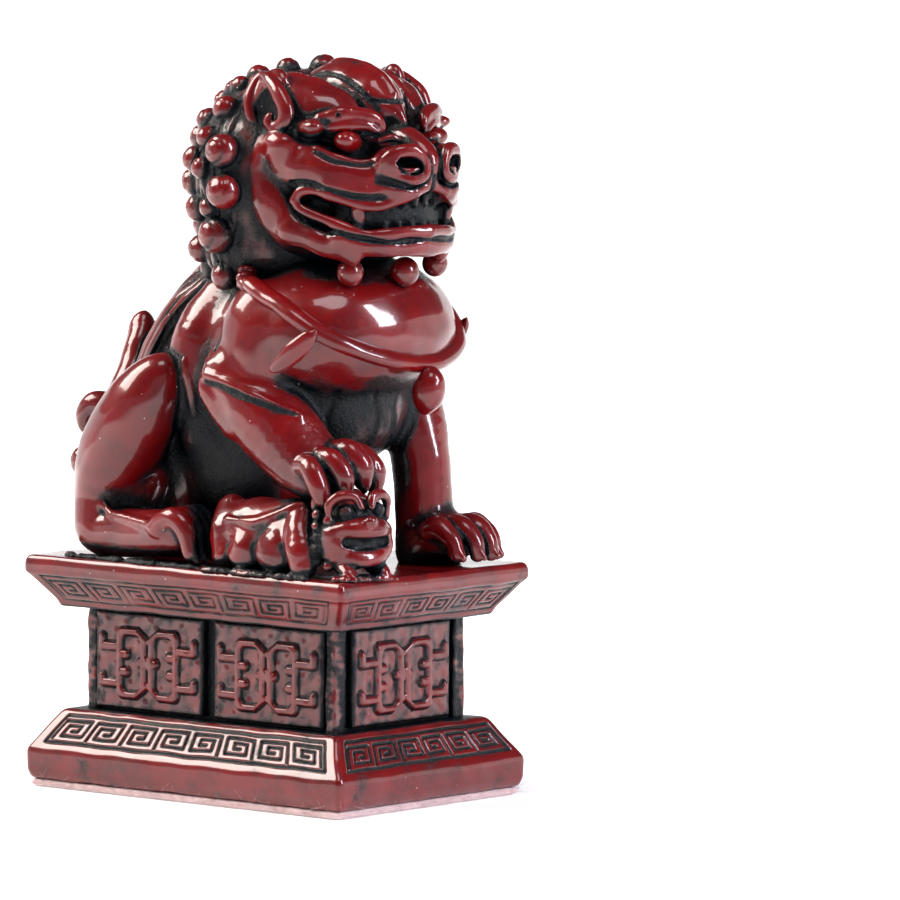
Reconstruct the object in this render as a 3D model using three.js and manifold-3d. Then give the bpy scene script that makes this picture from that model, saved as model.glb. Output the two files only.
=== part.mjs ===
// Guardian lion with a cub, seated on a stepped pedestal, cast in red resin.
// Millimetres, +Z up. The origin is the centre of the felt underside and the lion faces -Y.
// "right" and "left" are the lion's own sides: right is -X, left is +X.
import * as THREE from "three";
import { mergeVertices } from "three/addons/utils/BufferGeometryUtils.js";
import Module from "manifold-3d";

const wasm = await Module();
wasm.setup();

// ---------------------------------------------------------------- driving dimensions

const GAP = 0.3; // clearance kept between neighbouring pieces
const HALF_WIDTH = 30.1; // cornice, half its size along X
const LENGTHENING = 12; // every step of the pedestal is this much longer, each way, along Y
const FELT_TOP = 1.2;
const PLINTH_TOP = 15.8;
const WAIST_TOP = 36.4;
const CORNICE_TOP = 47.2;
const WAIST_FACE = 21.2; // half width of the waist over the faces of its panels
const PANEL_DEPTH = 2.0; // how far a panel's face stands out from the waist's core
const RELIEF = 0.8; // height of the looped ornament on a panel
const HEAD_YAW = -7; // degrees: the head looks a little to the lion's right
const NECK_Y = -12; // the head turns about a vertical axis here
const SMALL = 9; // a mass whose largest radius is below this has fewer segments

const RESIN = { color: 0x7d1015, roughness: 0.22, metalness: 0.0 };
const PEDESTAL_RESIN = { color: 0x74131a, roughness: 0.26, metalness: 0.0 };
const FELT = { color: 0xb9a2a2, roughness: 0.95, metalness: 0.0 };

const SIDES = [
  ["right", -1],
  ["left", 1],
];

// ---------------------------------------------------------------- solids

const still = new THREE.Matrix4();
const headTurn = new THREE.Matrix4()
  .makeTranslation(0, NECK_Y, 0)
  .multiply(new THREE.Matrix4().makeRotationZ(THREE.MathUtils.degToRad(HEAD_YAW)))
  .multiply(new THREE.Matrix4().makeTranslation(0, -NECK_Y, 0));

// A closed geometry as a solid: shared vertices merged, flat triangles at poles dropped.
function solid(geometry) {
  const bare = geometry.index ? geometry.toNonIndexed() : geometry.clone();
  bare.deleteAttribute("normal");
  bare.deleteAttribute("uv");
  const merged = mergeVertices(bare, 1e-4);
  const kept = [];
  const index = merged.index.array;
  for (let i = 0; i < index.length; i += 3) {
    const [a, b, c] = [index[i], index[i + 1], index[i + 2]];
    if (a !== b && b !== c && c !== a) kept.push(a, b, c);
  }
  return new wasm.Manifold(
    new wasm.Mesh({
      numProp: 3,
      vertProperties: new Float32Array(merged.attributes.position.array),
      triVerts: new Uint32Array(kept),
    }),
  );
}

function joined(shapes) {
  return shapes.reduce((whole, shape) => whole.add(shape));
}

// A rounded mass: a sphere stretched to three radii, turned (degrees about X, Y, Z) and placed.
function egg(centre, radii, turn = [0, 0, 0], grow = 0, frame = still) {
  const [round, along] = Math.max(...radii) < SMALL ? [8, 5] : [12, 7];
  const geometry = new THREE.SphereGeometry(1, round, along);
  geometry.rotateX(Math.PI / 2);
  geometry.scale(...radii.map((radius) => radius + grow));
  const angles = turn.map(THREE.MathUtils.degToRad);
  geometry.applyMatrix4(new THREE.Matrix4().makeRotationFromEuler(new THREE.Euler(...angles, "ZYX")));
  geometry.translate(...centre);
  geometry.applyMatrix4(frame);
  return solid(geometry);
}

// A small ball, stretched and turned about Z, coarser than an egg: a curl or a toe.
function bead(centre, radii, heading, grow, frame = still) {
  const geometry = new THREE.SphereGeometry(1, 7, 5);
  geometry.scale(...radii.map((radius) => radius + grow));
  geometry.rotateZ(THREE.MathUtils.degToRad(heading));
  geometry.translate(...centre);
  geometry.applyMatrix4(frame);
  return solid(geometry);
}

// One stretch of a limb: the hull of two balls, as a lathe profile of two arcs.
function taper(start, end, grow, frame) {
  const from = new THREE.Vector3(...start.slice(0, 3));
  const to = new THREE.Vector3(...end.slice(0, 3));
  const [r0, r1] = [start[3] + grow, end[3] + grow];
  const length = from.distanceTo(to);
  const lean = Math.asin(THREE.MathUtils.clamp((r0 - r1) / length, -0.98, 0.98));
  const profile = [];
  const steps = 2;
  for (let i = 0; i <= steps; i++) {
    const angle = -Math.PI / 2 + ((lean + Math.PI / 2) * i) / steps;
    profile.push(new THREE.Vector2(Math.max(0, r0 * Math.cos(angle)), r0 * Math.sin(angle)));
  }
  for (let i = 0; i <= steps; i++) {
    const angle = lean + ((Math.PI / 2 - lean) * i) / steps;
    profile.push(new THREE.Vector2(Math.max(0, r1 * Math.cos(angle)), length + r1 * Math.sin(angle)));
  }
  profile[0].x = 0;
  profile[profile.length - 1].x = 0;
  const geometry = new THREE.LatheGeometry(profile, 8);
  const direction = to.clone().sub(from).normalize();
  const turn = new THREE.Quaternion().setFromUnitVectors(new THREE.Vector3(0, 1, 0), direction);
  geometry.applyQuaternion(turn);
  geometry.translate(from.x, from.y, from.z);
  geometry.applyMatrix4(frame);
  return solid(geometry);
}

// A limb: tapered stretches through [x, y, z, radius] stations.
function limb(stations, grow = 0, frame = still) {
  const stretches = [];
  for (let i = 1; i < stations.length; i++) {
    stretches.push(taper(stations[i - 1], stations[i], grow, frame));
  }
  return joined(stretches);
}

// A block whose rounded-rectangle section changes with height: levels are [half X, z].
function mouldedBlock(levels, corner = 1.2) {
  const rings = levels.map(([half, z]) => {
    const [x, y] = [half, half + LENGTHENING];
    const outline = new THREE.Shape();
    outline.moveTo(x, -y + corner).lineTo(x, y - corner);
    outline.absarc(x - corner, y - corner, corner, 0, Math.PI / 2, false);
    outline.absarc(-x + corner, y - corner, corner, Math.PI / 2, Math.PI, false);
    outline.absarc(-x + corner, -y + corner, corner, Math.PI, Math.PI * 1.5, false);
    outline.absarc(x - corner, -y + corner, corner, Math.PI * 1.5, Math.PI * 2, false);
    const points = outline.getPoints(3);
    if (points[0].distanceTo(points[points.length - 1]) < 1e-6) points.pop();
    return points.map((p) => [p.x, p.y, z]);
  });
  const count = rings[0].length;
  const triangles = [];
  for (let level = 1; level < rings.length; level++) {
    for (let i = 0; i < count; i++) {
      const j = (i + 1) % count;
      const [a, b, c, d] = [rings[level - 1][i], rings[level - 1][j], rings[level][j], rings[level][i]];
      triangles.push(a, b, c, a, c, d);
    }
  }
  const foot = [0, 0, levels[0][1]];
  const crown = [0, 0, levels[levels.length - 1][1]];
  for (let i = 0; i < count; i++) {
    const j = (i + 1) % count;
    triangles.push(foot, rings[0][j], rings[0][i]);
    triangles.push(crown, rings[rings.length - 1][i], rings[rings.length - 1][j]);
  }
  const geometry = new THREE.BufferGeometry();
  geometry.setAttribute("position", new THREE.Float32BufferAttribute(triangles.flat(), 3));
  return solid(geometry);
}

function box(low, high) {
  const size = low.map((value, i) => high[i] - value);
  const geometry = new THREE.BoxGeometry(...size);
  geometry.translate(...low.map((value, i) => (value + high[i]) / 2));
  return solid(geometry);
}

// An outline in X and Y, counter-clockwise, given a thickness upwards.
function slab(outline, holes, depth) {
  const shape = new THREE.Shape(outline.map(([x, y]) => new THREE.Vector2(x, y)));
  shape.holes = holes.map((hole) => new THREE.Path(hole.map(([x, y]) => new THREE.Vector2(x, y))));
  return new THREE.ExtrudeGeometry(shape, { depth, bevelEnabled: false, curveSegments: 6 });
}

// ---------------------------------------------------------------- the list of pieces

// Each piece is a function of "grow", so that a neighbour can be cut by the piece made GAP larger.
// Earlier pieces in the list keep their shape and later ones are cut back from them.
const pieces = [];
function piece(name, material, shape) {
  pieces.push({ name, material, shape });
}

// ---------------------------------------------------------------- pedestal

piece("felt_pad", FELT, () =>
  mouldedBlock([
    [HALF_WIDTH - 1.5, 0],
    [HALF_WIDTH - 1.5, FELT_TOP],
  ]),
);

piece("base_plinth", PEDESTAL_RESIN, () =>
  mouldedBlock([
    [28.9, FELT_TOP + GAP],
    [29.4, 2.4],
    [29.7, 7.4],
    [28.9, 8.6],
    [24.6, 15.3],
    [24.0, PLINTH_TOP],
  ]),
);

// The core, with a narrow post proud of it at each corner.
piece("waist_block", PEDESTAL_RESIN, () => {
  const [low, high] = [PLINTH_TOP + GAP, WAIST_TOP];
  const core = WAIST_FACE - PANEL_DEPTH;
  const corner = { width: 3.6, length: 2.2, set_back: 0.5 };
  const parts = [box([-core, -core - LENGTHENING, low], [core, core + LENGTHENING, high])];
  for (const x of [-1, 1]) {
    for (const y of [-1, 1]) {
      const outerX = WAIST_FACE - corner.set_back;
      const outerY = outerX + LENGTHENING;
      const nearX = [x * (outerX - corner.width), x * outerX].sort((a, b) => a - b);
      const nearY = [y * (outerY - corner.length), y * outerY].sort((a, b) => a - b);
      parts.push(box([nearX[0], nearY[0], low], [nearX[1], nearY[1], high]));
    }
  }
  return joined(parts);
});

// Two tall loops joined by a bar, with a turned-up bracket at each side, above and below.
function loopedOrnament() {
  const mirror = (points) => points.map(([x, y]) => [-x, y]).reverse();
  const half = [
    [0, 4.7], [2.9, 6.7], [9, 6.7], [9, 3.6], [12.6, 3.6], [13.8, 5], [13.8, 2.1], [9, 2.1],
    [9, -3.9], [12.6, -3.9], [13.8, -2.6], [13.8, -5.4], [9, -5.4], [9, -7.5], [3.3, -7.5], [0, -5.3],
  ];
  const window = [
    [2, 4.2], [3.2, 5.3], [7.4, 5.3], [7.4, 2.3], [5.6, 1.9], [5.6, 0.7], [7.2, -0.3], [5.6, -1.5],
    [5.6, -2.9], [7.4, -3.4], [7.4, -6.1], [3.6, -6.1], [2, -4.6], [2, -1.2], [3.4, -1], [3.4, 0.6], [2, 0.8],
  ];
  const outline = [...half, ...mirror(half).slice(1, -1)].reverse();
  return slab(outline, [window, mirror(window)], RELIEF + 0.2);
}

// A raised panel with its ornament: made lying in X and Y, then stood up facing "heading" degrees.
function panel(width, heading, faceDistance, sideways) {
  const [low, high] = [PLINTH_TOP + 2 * GAP, WAIST_TOP - GAP];
  const thickness = PANEL_DEPTH - GAP;
  const stand = new THREE.Matrix4()
    .makeRotationZ(THREE.MathUtils.degToRad(heading))
    .multiply(new THREE.Matrix4().makeTranslation(sideways, -faceDistance, (low + high) / 2))
    .multiply(new THREE.Matrix4().makeRotationX(Math.PI / 2));
  const plate = new THREE.BoxGeometry(width, high - low, thickness);
  plate.translate(0, 0, -thickness / 2);
  const ornament = loopedOrnament();
  ornament.translate(0, 0, -0.2);
  plate.applyMatrix4(stand);
  ornament.applyMatrix4(stand);
  return solid(plate).add(solid(ornament));
}

// The face of a plate lies at its waist face, and the ornament stands proud of it.
const END_FACE = WAIST_FACE + LENGTHENING;
const SIDE_PANEL_OFFSET = 15.6;
for (const [name, heading] of [["front", 0], ["back", 180]]) {
  piece(`waist_panel_${name}`, PEDESTAL_RESIN, () => panel(30.6, heading, END_FACE, 0));
}
for (const [side, heading] of [["right", -90], ["left", 90]]) {
  for (const [place, along] of [["front", 1], ["rear", -1]]) {
    const sideways = (side === "right" ? 1 : -1) * along * SIDE_PANEL_OFFSET;
    piece(`waist_panel_${side}_${place}`, PEDESTAL_RESIN, () => panel(28.4, heading, WAIST_FACE, sideways));
  }
}

piece("cornice", PEDESTAL_RESIN, () =>
  mouldedBlock([
    [24.9, WAIST_TOP + GAP],
    [25.3, 38.2],
    [29.2, 43.0],
    [HALF_WIDTH, 43.9],
    [HALF_WIDTH, 46.2],
    [29.4, CORNICE_TOP],
  ]),
);

// ---------------------------------------------------------------- lion: head

const FLOOR = CORNICE_TOP + GAP; // nothing of the figure goes lower

for (const [side, s] of SIDES) {
  piece(`eye_${side}`, RESIN, (grow) => egg([s * 12, -31.6, 133.4], [4.4, 3.6, 3.4], [0, 0, 0], grow, headTurn));
}

// An upper fang at each side of the open mouth.
for (const [side, s] of SIDES) {
  piece(`fang_${side}`, RESIN, (grow) =>
    limb(
      [
        [s * 12.8, -33.4, 122, 1.7],
        [s * 12.8, -33, 117.4, 0.8],
      ],
      grow,
      headTurn,
    ),
  );
}

piece("tongue", RESIN, (grow) => egg([0, -28, 116.6], [9, 10, 1.6], [8, 0, 0], grow, headTurn));

// Wide nose: a bridge between two rolled wings.
piece("nose", RESIN, (grow) =>
  joined([
    egg([0, -38.8, 130.6], [5.5, 5, 4.6], [0, 0, 0], grow, headTurn),
    egg([0, -39, 128], [10.4, 4.4, 3.8], [0, 0, 0], grow, headTurn),
  ]),
);

piece("brow_centre", RESIN, (grow) =>
  egg([0, -27.5, 143.2], [7.4, 7.2, 5.4], [-25, 0, 0], grow, headTurn),
);
for (const [side, s] of SIDES) {
  piece(`brow_${side}`, RESIN, (grow) =>
    egg([s * 11.4, -24, 142.4], [6.4, 8, 5], [-20, 0, s * 22], grow, headTurn),
  );
  piece(`eyebrow_${side}`, RESIN, (grow) =>
    limb(
      [
        [s * 6.2, -34.6, 138.2, 2.2],
        [s * 12, -32.8, 139.4, 2.7],
        [s * 18, -28.6, 138, 2.4],
      ],
      grow,
      headTurn,
    ),
  );
  // A leaf-shaped ear, hollow in front.
  piece(`ear_${side}`, RESIN, (grow) => {
    const leaf = egg([s * 21.5, -17.6, 140.8], [3.4, 5.2, 8.2], [14, 0, s * 24], grow, headTurn);
    const hollow = egg([s * 24.2, -21, 140.6], [2.6, 2.8, 5.6], [14, 0, s * 24], -grow, headTurn);
    return grow > 0 ? leaf : leaf.subtract(hollow);
  });
}

// Skull, cheeks, eye sockets and muzzle, with the roof of the open mouth.
piece("head", RESIN, (grow) => {
  const masses = joined([
    egg([0, -18, 132.8], [24, 16, 14.2], [0, 0, 0], grow, headTurn),
    egg([0, -29, 126.2], [18, 12.5, 7.8], [0, 0, 0], grow, headTurn),
    egg([0, -22.5, 125], [22.5, 10, 6], [0, 0, 0], grow, headTurn),
  ]);
  const mouth = egg([0, -28, 118.6], [19, 14, 3.4], [0, 0, 0], 0, headTurn);
  return grow > 0 ? masses : masses.subtract(mouth);
});

// A broad jaw, hollowed above the tongue.
piece("lower_jaw", RESIN, (grow) => {
  const masses = joined([
    egg([0, -24.5, 113.2], [21, 13.5, 6], [4, 0, 0], grow, headTurn),
    egg([0, -16, 116.5], [23.5, 8, 6.4], [0, 0, 0], grow, headTurn),
  ]);
  const mouth = egg([0, -27, 119.4], [15.5, 14.5, 5], [4, 0, 0], 0, headTurn);
  return grow > 0 ? masses : masses.subtract(mouth);
});

for (const [name, x, y] of [["right", -14, -28.6], ["centre", 0, -33.4], ["left", 14, -28.6]]) {
  piece(`beard_curl_${name}`, RESIN, (grow) => bead([x, y, 106.6], [3.6, 3.6, 3.8], 0, grow, headTurn));
}

// ---------------------------------------------------------------- lion: collar

// The band lies round the chest on a leaning ring that ends behind the cheeks.
function collarPoint(degrees) {
  const angle = THREE.MathUtils.degToRad(degrees);
  const [halfWidth, reach] = [26.5, 20.6];
  const x = halfWidth * Math.sin(angle);
  const y = -17 - reach * Math.cos(angle);
  return [x, y, 89.2 + 17.5 * (1 - Math.cos(angle)) ** 0.8];
}

piece("collar_bell", RESIN, (grow) => egg([0, -39.4, 83.8], [4, 3.8, 4.8], [0, 0, 0], grow));

for (const [side, s] of SIDES) {
  piece(`tassel_${side}`, RESIN, (grow) =>
    limb(
      [
        [s * 25.4, -29, 93.6, 2.6],
        [s * 27.4, -24.6, 91, 2.9],
        [s * 27.8, -20.2, 87.8, 1],
      ],
      grow,
    ),
  );
}

piece("collar_band", RESIN, (grow) => {
  const points = [];
  for (let degrees = -100; degrees <= 100; degrees += 20) {
    points.push(new THREE.Vector3(...collarPoint(degrees)));
  }
  const section = new THREE.Shape();
  section.absarc(0, 0, 2 + grow, 0, Math.PI * 2, false);
  const extrudePath = new THREE.CatmullRomCurve3(points);
  return solid(new THREE.ExtrudeGeometry(section, { steps: 18, curveSegments: 4, extrudePath }));
});

// ---------------------------------------------------------------- lion: mane

// A cap of hair, covered with balls of curl in rows over the back and sides of the head.
piece("mane", RESIN, (grow) => {
  const cap = [
    egg([0, -7, 125], [24, 14, 18.5], [0, 0, 0], grow, headTurn),
    egg([0, -4, 113], [21, 13, 13], [0, 0, 0], grow, headTurn),
  ];
  const rows = [
    { height: 140.5, halfWidth: 12.5, reach: 7, count: 4, radius: 4.8, spread: 80 },
    { height: 132, halfWidth: 19.5, reach: 11.4, count: 5, radius: 5.4, spread: 88 },
    { height: 122, halfWidth: 22, reach: 12.6, count: 5, radius: 5.8, spread: 92 },
    { height: 111.5, halfWidth: 20.5, reach: 11.6, count: 4, radius: 5.4, spread: 80 },
  ];
  const curls = [];
  for (const { height, halfWidth, reach, count, radius, spread } of rows) {
    for (let i = 0; i < count; i++) {
      const angle = THREE.MathUtils.degToRad(-spread + (2 * spread * i) / (count - 1));
      const centre = [halfWidth * Math.sin(angle), -5 + reach * Math.cos(angle), height];
      curls.push(bead(centre, [radius, radius, radius], 0, grow, headTurn));
    }
  }
  return joined([...cap, ...curls]);
});

// ---------------------------------------------------------------- cub

piece("cub_head", RESIN, (grow) =>
  joined([
    egg([-19.4, -36.6, 58.2], [5.2, 5.4, 4.8], [0, 0, 0], grow),
    egg([-18.6, -41, 56.4], [3.4, 3.2, 2.8], [0, 0, 0], grow),
  ]),
);
piece("cub_body", RESIN, (grow) =>
  joined([
    egg([-20.4, -19.5, 54.8], [6.2, 14.4, 7], [6, 0, 0], grow),
    limb(
      [
        [-21, -29, 53, 4.2],
        [-22.4, -31.4, FLOOR + 2.6, 2.8],
        [-21.6, -34.6, FLOOR + 2.2, 2.2],
      ],
      grow,
    ),
  ]),
);

// ---------------------------------------------------------------- lion: legs

// The right forepaw is lifted onto the cub; the left stands on the cornice.
function paw(centre, heading, spread, toeRadius, grow) {
  const angle = THREE.MathUtils.degToRad(heading);
  const shapes = [egg(centre, [spread, spread * 0.95, spread * 0.62], [0, 0, heading], grow)];
  for (let toe = 0; toe < 4; toe++) {
    const across = (toe - 1.5) * spread * 0.5;
    const along = spread * (0.92 - 0.06 * Math.abs(toe - 1.5));
    const x = centre[0] + across * Math.cos(angle) + along * Math.sin(angle);
    const y = centre[1] + across * Math.sin(angle) - along * Math.cos(angle);
    const knuckle = [x, y, centre[2] - spread * 0.12];
    shapes.push(bead(knuckle, [toeRadius, toeRadius * 1.5, toeRadius], heading, grow));
  }
  return joined(shapes);
}

piece("forepaw_right", RESIN, (grow) => paw([-19.4, -29.8, 68], -8, 7.4, 2.5, grow));
piece("forepaw_left", RESIN, (grow) => paw([16.4, -33.4, 52.6], 6, 8.6, 2.8, grow));

piece("foreleg_right", RESIN, (grow) =>
  limb(
    [
      [-20, -4, 98, 11],
      [-21.5, -6.5, 86, 9.4],
      [-20.6, -18, 78.5, 8.2],
      [-19.6, -26, 71.5, 6.6],
    ],
    grow,
  ),
);
piece("foreleg_left", RESIN, (grow) =>
  limb(
    [
      [18.6, -10, 97, 11],
      [16.6, -20, 84, 8.8],
      [15.6, -25.4, 68, 7.6],
      [15.6, -27.4, 56, 7.2],
    ],
    grow,
  ),
);

for (const [side, s] of SIDES) {
  piece(`hind_paw_${side}`, RESIN, (grow) =>
    limb(
      [
        [s * 20.5, 24, FLOOR + 4.4, 4.4],
        [s * 22, 6, FLOOR + 4.8, 4.8],
        [s * 22.4, -3.6, FLOOR + 4.6, 4.4],
      ],
      grow,
    ),
  );
  piece(`hind_leg_${side}`, RESIN, (grow) =>
    joined([
      egg([s * 17, 17.6, 68], [11.6, 18.5, 18], [-18, 0, 0], grow),
      egg([s * 19.6, 3, 64], [8.2, 9.4, 10.6], [-20, 0, 0], grow),
    ]),
  );
}

// ---------------------------------------------------------------- lion: tail and trunk

// An upright flame of hair, pressed against the back.
piece("tail", RESIN, (grow) =>
  limb(
    [
      [0, 35.5, 60, 4.6],
      [0, 36.6, 74, 5.2],
      [0, 35.4, 85, 4.8],
      [0, 34.6, 95.5, 1.8],
    ],
    grow,
  ),
);
for (const [side, s] of SIDES) {
  piece(`rear_tuft_${side}`, RESIN, (grow) =>
    joined([
      limb([[s * 12, 32, 76, 4.2], [s * 14, 39.6, 77.6, 1.4]], grow),
      limb([[s * 12, 34, 65, 4.2], [s * 14, 42, 66, 1.4]], grow),
    ]),
  );
}
piece("spine_mane", RESIN, (grow) =>
  limb(
    [
      [0, 15.4, 103, 4.2],
      [0, 23, 97, 4.6],
      [0, 28.6, 88, 4.8],
      [0, 31.4, 78, 4.4],
    ],
    grow,
  ),
);

piece("chest_bib", RESIN, (grow) => egg([0, -17.4, 94.4], [25.4, 20.6, 15.8], [0, 0, 0], grow));

piece("torso", RESIN, (grow) =>
  joined([
    egg([0, -6, 84], [21, 18, 24], [0, 0, 0], grow),
    egg([0, 12, 74], [18, 21, 26], [-12, 0, 0], grow),
    egg([0, 22, 60], [17, 15, 14.6], [0, 0, 0], grow),
  ]),
);

// ---------------------------------------------------------------- assembly

function boxesMeet(a, b) {
  const [p, q] = [a.boundingBox(), b.boundingBox()];
  return [0, 1, 2].every((i) => p.min[i] < q.max[i] && q.min[i] < p.max[i]);
}

// The figure stops above the cornice, whatever its masses reach.
const FIGURE_SPACE = box([-60, -60, FLOOR], [60, 60, 200]);
const PEDESTAL_PIECES = pieces.findIndex(({ name }) => name === "cornice") + 1;

function toMesh(name, body, look) {
  const { vertProperties, triVerts, numProp } = body.getMesh();
  if (numProp !== 3) throw new Error(`${name} has more than positions`);
  const geometry = new THREE.BufferGeometry();
  geometry.setAttribute("position", new THREE.BufferAttribute(vertProperties, 3));
  geometry.setIndex(new THREE.BufferAttribute(triVerts, 1));
  const flat = geometry.toNonIndexed();
  flat.computeVertexNormals();
  const mesh = new THREE.Mesh(flat, new THREE.MeshStandardMaterial(look));
  mesh.name = name;
  return mesh;
}

const statue = new THREE.Group();
pieces.forEach(({ name, material, shape }, place) => {
  let body = shape(0);
  if (place >= PEDESTAL_PIECES) {
    body = body.intersect(FIGURE_SPACE);
    for (let i = PEDESTAL_PIECES; i < place; i++) {
      const cutter = pieces[i].shape(GAP);
      if (boxesMeet(body, cutter)) body = body.subtract(cutter);
    }
  }
  const bodies = body.decompose().sort((a, b) => b.volume() - a.volume());
  statue.add(toMesh(name, bodies[0], material));
});

export default statue;
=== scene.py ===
"""A guardian lion with its cub on a stepped pedestal, cast in red resin, varnished and rubbed with a dark
wash.

The lion and the cub are one casting whose masses run into each other and undercut themselves, which no
single sheet of a grid can follow. They are modelled as a sculptor would: masses are added to and cut from a
block, held as a field of distances, and a skin is drawn where the field is zero. Everything else is a
surface of two parameters: the pedestal's mouldings and key fret, the panels, the felt and its fibres, the
collar, the bell, the tassels, the eyes and the balls of the beard.

Sizes in the code are design millimetres above the table, turned to metres by MILLIMETRE, which comes from
the frame.
"""
import functools
import math

import bpy
import numpy as np
from mathutils import Matrix, Vector


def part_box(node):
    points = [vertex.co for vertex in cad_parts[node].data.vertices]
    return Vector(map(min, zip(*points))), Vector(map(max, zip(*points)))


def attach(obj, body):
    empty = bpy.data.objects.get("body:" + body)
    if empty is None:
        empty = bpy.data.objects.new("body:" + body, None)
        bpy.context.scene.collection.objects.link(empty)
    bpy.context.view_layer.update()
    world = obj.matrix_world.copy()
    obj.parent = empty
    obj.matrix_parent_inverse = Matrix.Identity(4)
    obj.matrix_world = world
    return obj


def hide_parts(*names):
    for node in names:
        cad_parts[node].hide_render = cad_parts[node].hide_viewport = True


bl_info = {"name": "Foo Dog Statue", "version": (1, 0, 0), "blender": (4, 5, 0),
    "location": "3D Viewport > Sidebar > Foo Dog",
    "description": "Builds a red resin guardian lion on its pedestal around the packed frame",
    "category": "Add Mesh", }

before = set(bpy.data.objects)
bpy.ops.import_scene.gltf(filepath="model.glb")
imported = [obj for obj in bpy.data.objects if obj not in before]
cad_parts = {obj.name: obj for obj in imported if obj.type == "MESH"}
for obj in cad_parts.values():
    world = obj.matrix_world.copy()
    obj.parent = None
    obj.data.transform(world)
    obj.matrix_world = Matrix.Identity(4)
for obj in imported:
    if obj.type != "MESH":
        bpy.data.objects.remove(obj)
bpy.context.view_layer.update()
PEDESTAL_TOP = 47.2  # design height of the cornice's top
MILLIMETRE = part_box("cornice")[1][2] / PEDESTAL_TOP
FAR = 8.0  # the field's value well away from the figure
HEAD_YAW = math.radians(-7.0)
NECK = np.array([0.0, -12.0, 0.0])
FIGURE_FOOT = 47.0  # height at which the figure is cut off flat, just inside the cornice
FULL_TURN = 6.28  # radians
LONGER = 12  # how much longer the pedestal's half length is than its half width


def linear(hex_colour):
    """An sRGB hex colour such as "7d1015" as linear red, green, blue and alpha."""
    channels = [int(hex_colour[i:i + 2], 16) / 255 for i in (0, 2, 4)]
    return [c / 12.92 if c <= 0.04045 else ((c + 0.055) / 1.055) ** 2.4 for c in channels] + [1.0]


# ------------------------------------------------------------------ settings

class ResinSettings(bpy.types.PropertyGroup):
    """What a user would change about the cast resin and its finish."""
    red: bpy.props.FloatVectorProperty(name="Resin red",
        description="Colour of the resin where it is rubbed clean", subtype="COLOR", size=3, min=0, max=1,
        default=linear("6c0609")[:3])
    deep_red: bpy.props.FloatVectorProperty(name="Deep red", description="Colour where the wash is thin",
        subtype="COLOR", size=3, min=0, max=1, default=linear("33040a")[:3])
    # this colour also paints shade, where the wash attribute carries painted shade
    wash: bpy.props.FloatVectorProperty(name="Dark wash", description="Colour of the wash in the hollows",
        subtype="COLOR", size=3, min=0, max=1, default=linear("03080e")[:3])
    roughness: bpy.props.FloatProperty(name="Resin roughness", description="0 is a mirror, 1 is chalk",
        subtype="FACTOR", min=0, max=1, default=0.28)


class FigureSettings(bpy.types.PropertyGroup):
    """How finely the figure is skinned."""
    head_step: bpy.props.FloatProperty(name="Head step",
        description="Spacing of the head's field, in millimetres", min=0.25, max=2.0, default=0.39)
    body_step: bpy.props.FloatProperty(name="Body step",
        description="Spacing of the body's field, in millimetres", min=0.3, max=2.0, default=0.46)
    cub_step: bpy.props.FloatProperty(name="Cub step",
        description="Spacing of the cub's field, in millimetres", min=0.25, max=2.0, default=0.34)


class PedestalSettings(bpy.types.PropertyGroup):
    """Carving on the pedestal."""
    fret_depth: bpy.props.FloatProperty(name="Fret depth", description="Depth of the incised key fret",
        subtype="DISTANCE", unit="LENGTH", min=0, max=0.002, default=0.45 * MILLIMETRE)
    relief: bpy.props.FloatProperty(name="Panel relief", description="Height of the looped ornament",
        subtype="DISTANCE", unit="LENGTH", min=0, max=0.003, default=0.9 * MILLIMETRE)


# ------------------------------------------------------------------ meshes and materials

def grid_faces(rows, columns, wrap_rows=False, wrap_columns=False):
    """Quads between neighbours of a rows by columns grid of vertices, numbered row by row."""
    r = np.arange(rows if wrap_rows else rows - 1)
    c = np.arange(columns if wrap_columns else columns - 1)
    r, c = [index.ravel() for index in np.meshgrid(r, c, indexing="ij")]
    here, ahead = r * columns, (r + 1) % rows * columns
    after = (c + 1) % columns
    return np.stack([here + c, here + after, ahead + after, ahead + c], 1)


def end_fans(rows, columns):
    """Triangles that close the first and the last row of a grid that wraps round its columns. They meet in
    two more vertices, which follow those of the grid."""
    ring = np.arange(columns)
    after, last, hub = (ring + 1) % columns, (rows - 1) * columns, rows * columns
    return np.vstack([np.column_stack([np.full(columns, hub), after, ring]),
        np.column_stack([np.full(columns, hub + 1), last + ring, last + after])])


def make_piece(name, vertices, quads, wash, material, replaces, triangles=None):
    """A smooth mesh from design-millimetre vertices and quads, riding on the root, with its wash and painted
    shade as one attribute."""
    mesh = bpy.data.meshes.new(name)
    loops = quads.ravel() if triangles is None else np.concatenate([quads.ravel(), triangles.ravel()])
    sizes = np.full(len(quads), 4)
    if triangles is not None:
        sizes = np.concatenate([sizes, np.full(len(triangles), 3)])
    mesh.vertices.add(len(vertices))
    mesh.vertices.foreach_set("co", (np.asarray(vertices) * MILLIMETRE).astype(np.float32).ravel())
    mesh.loops.add(len(loops))
    mesh.loops.foreach_set("vertex_index", loops.astype(np.int32))
    mesh.polygons.add(len(sizes))
    mesh.polygons.foreach_set("loop_start", (np.cumsum(sizes) - sizes).astype(np.int32))
    mesh.polygons.foreach_set("use_smooth", np.ones(len(sizes), bool))
    mesh.update(calc_edges=True)
    layer = mesh.attributes.new("wash", "FLOAT", "POINT")
    layer.data.foreach_set("value", np.clip(wash, 0, 1).astype(np.float32))
    mesh.materials.append(material)
    piece = bpy.data.objects.new(name, mesh)
    bpy.context.collection.objects.link(piece)
    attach(piece, "root")
    if replaces:
        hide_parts(*replaces)
    return piece


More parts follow.
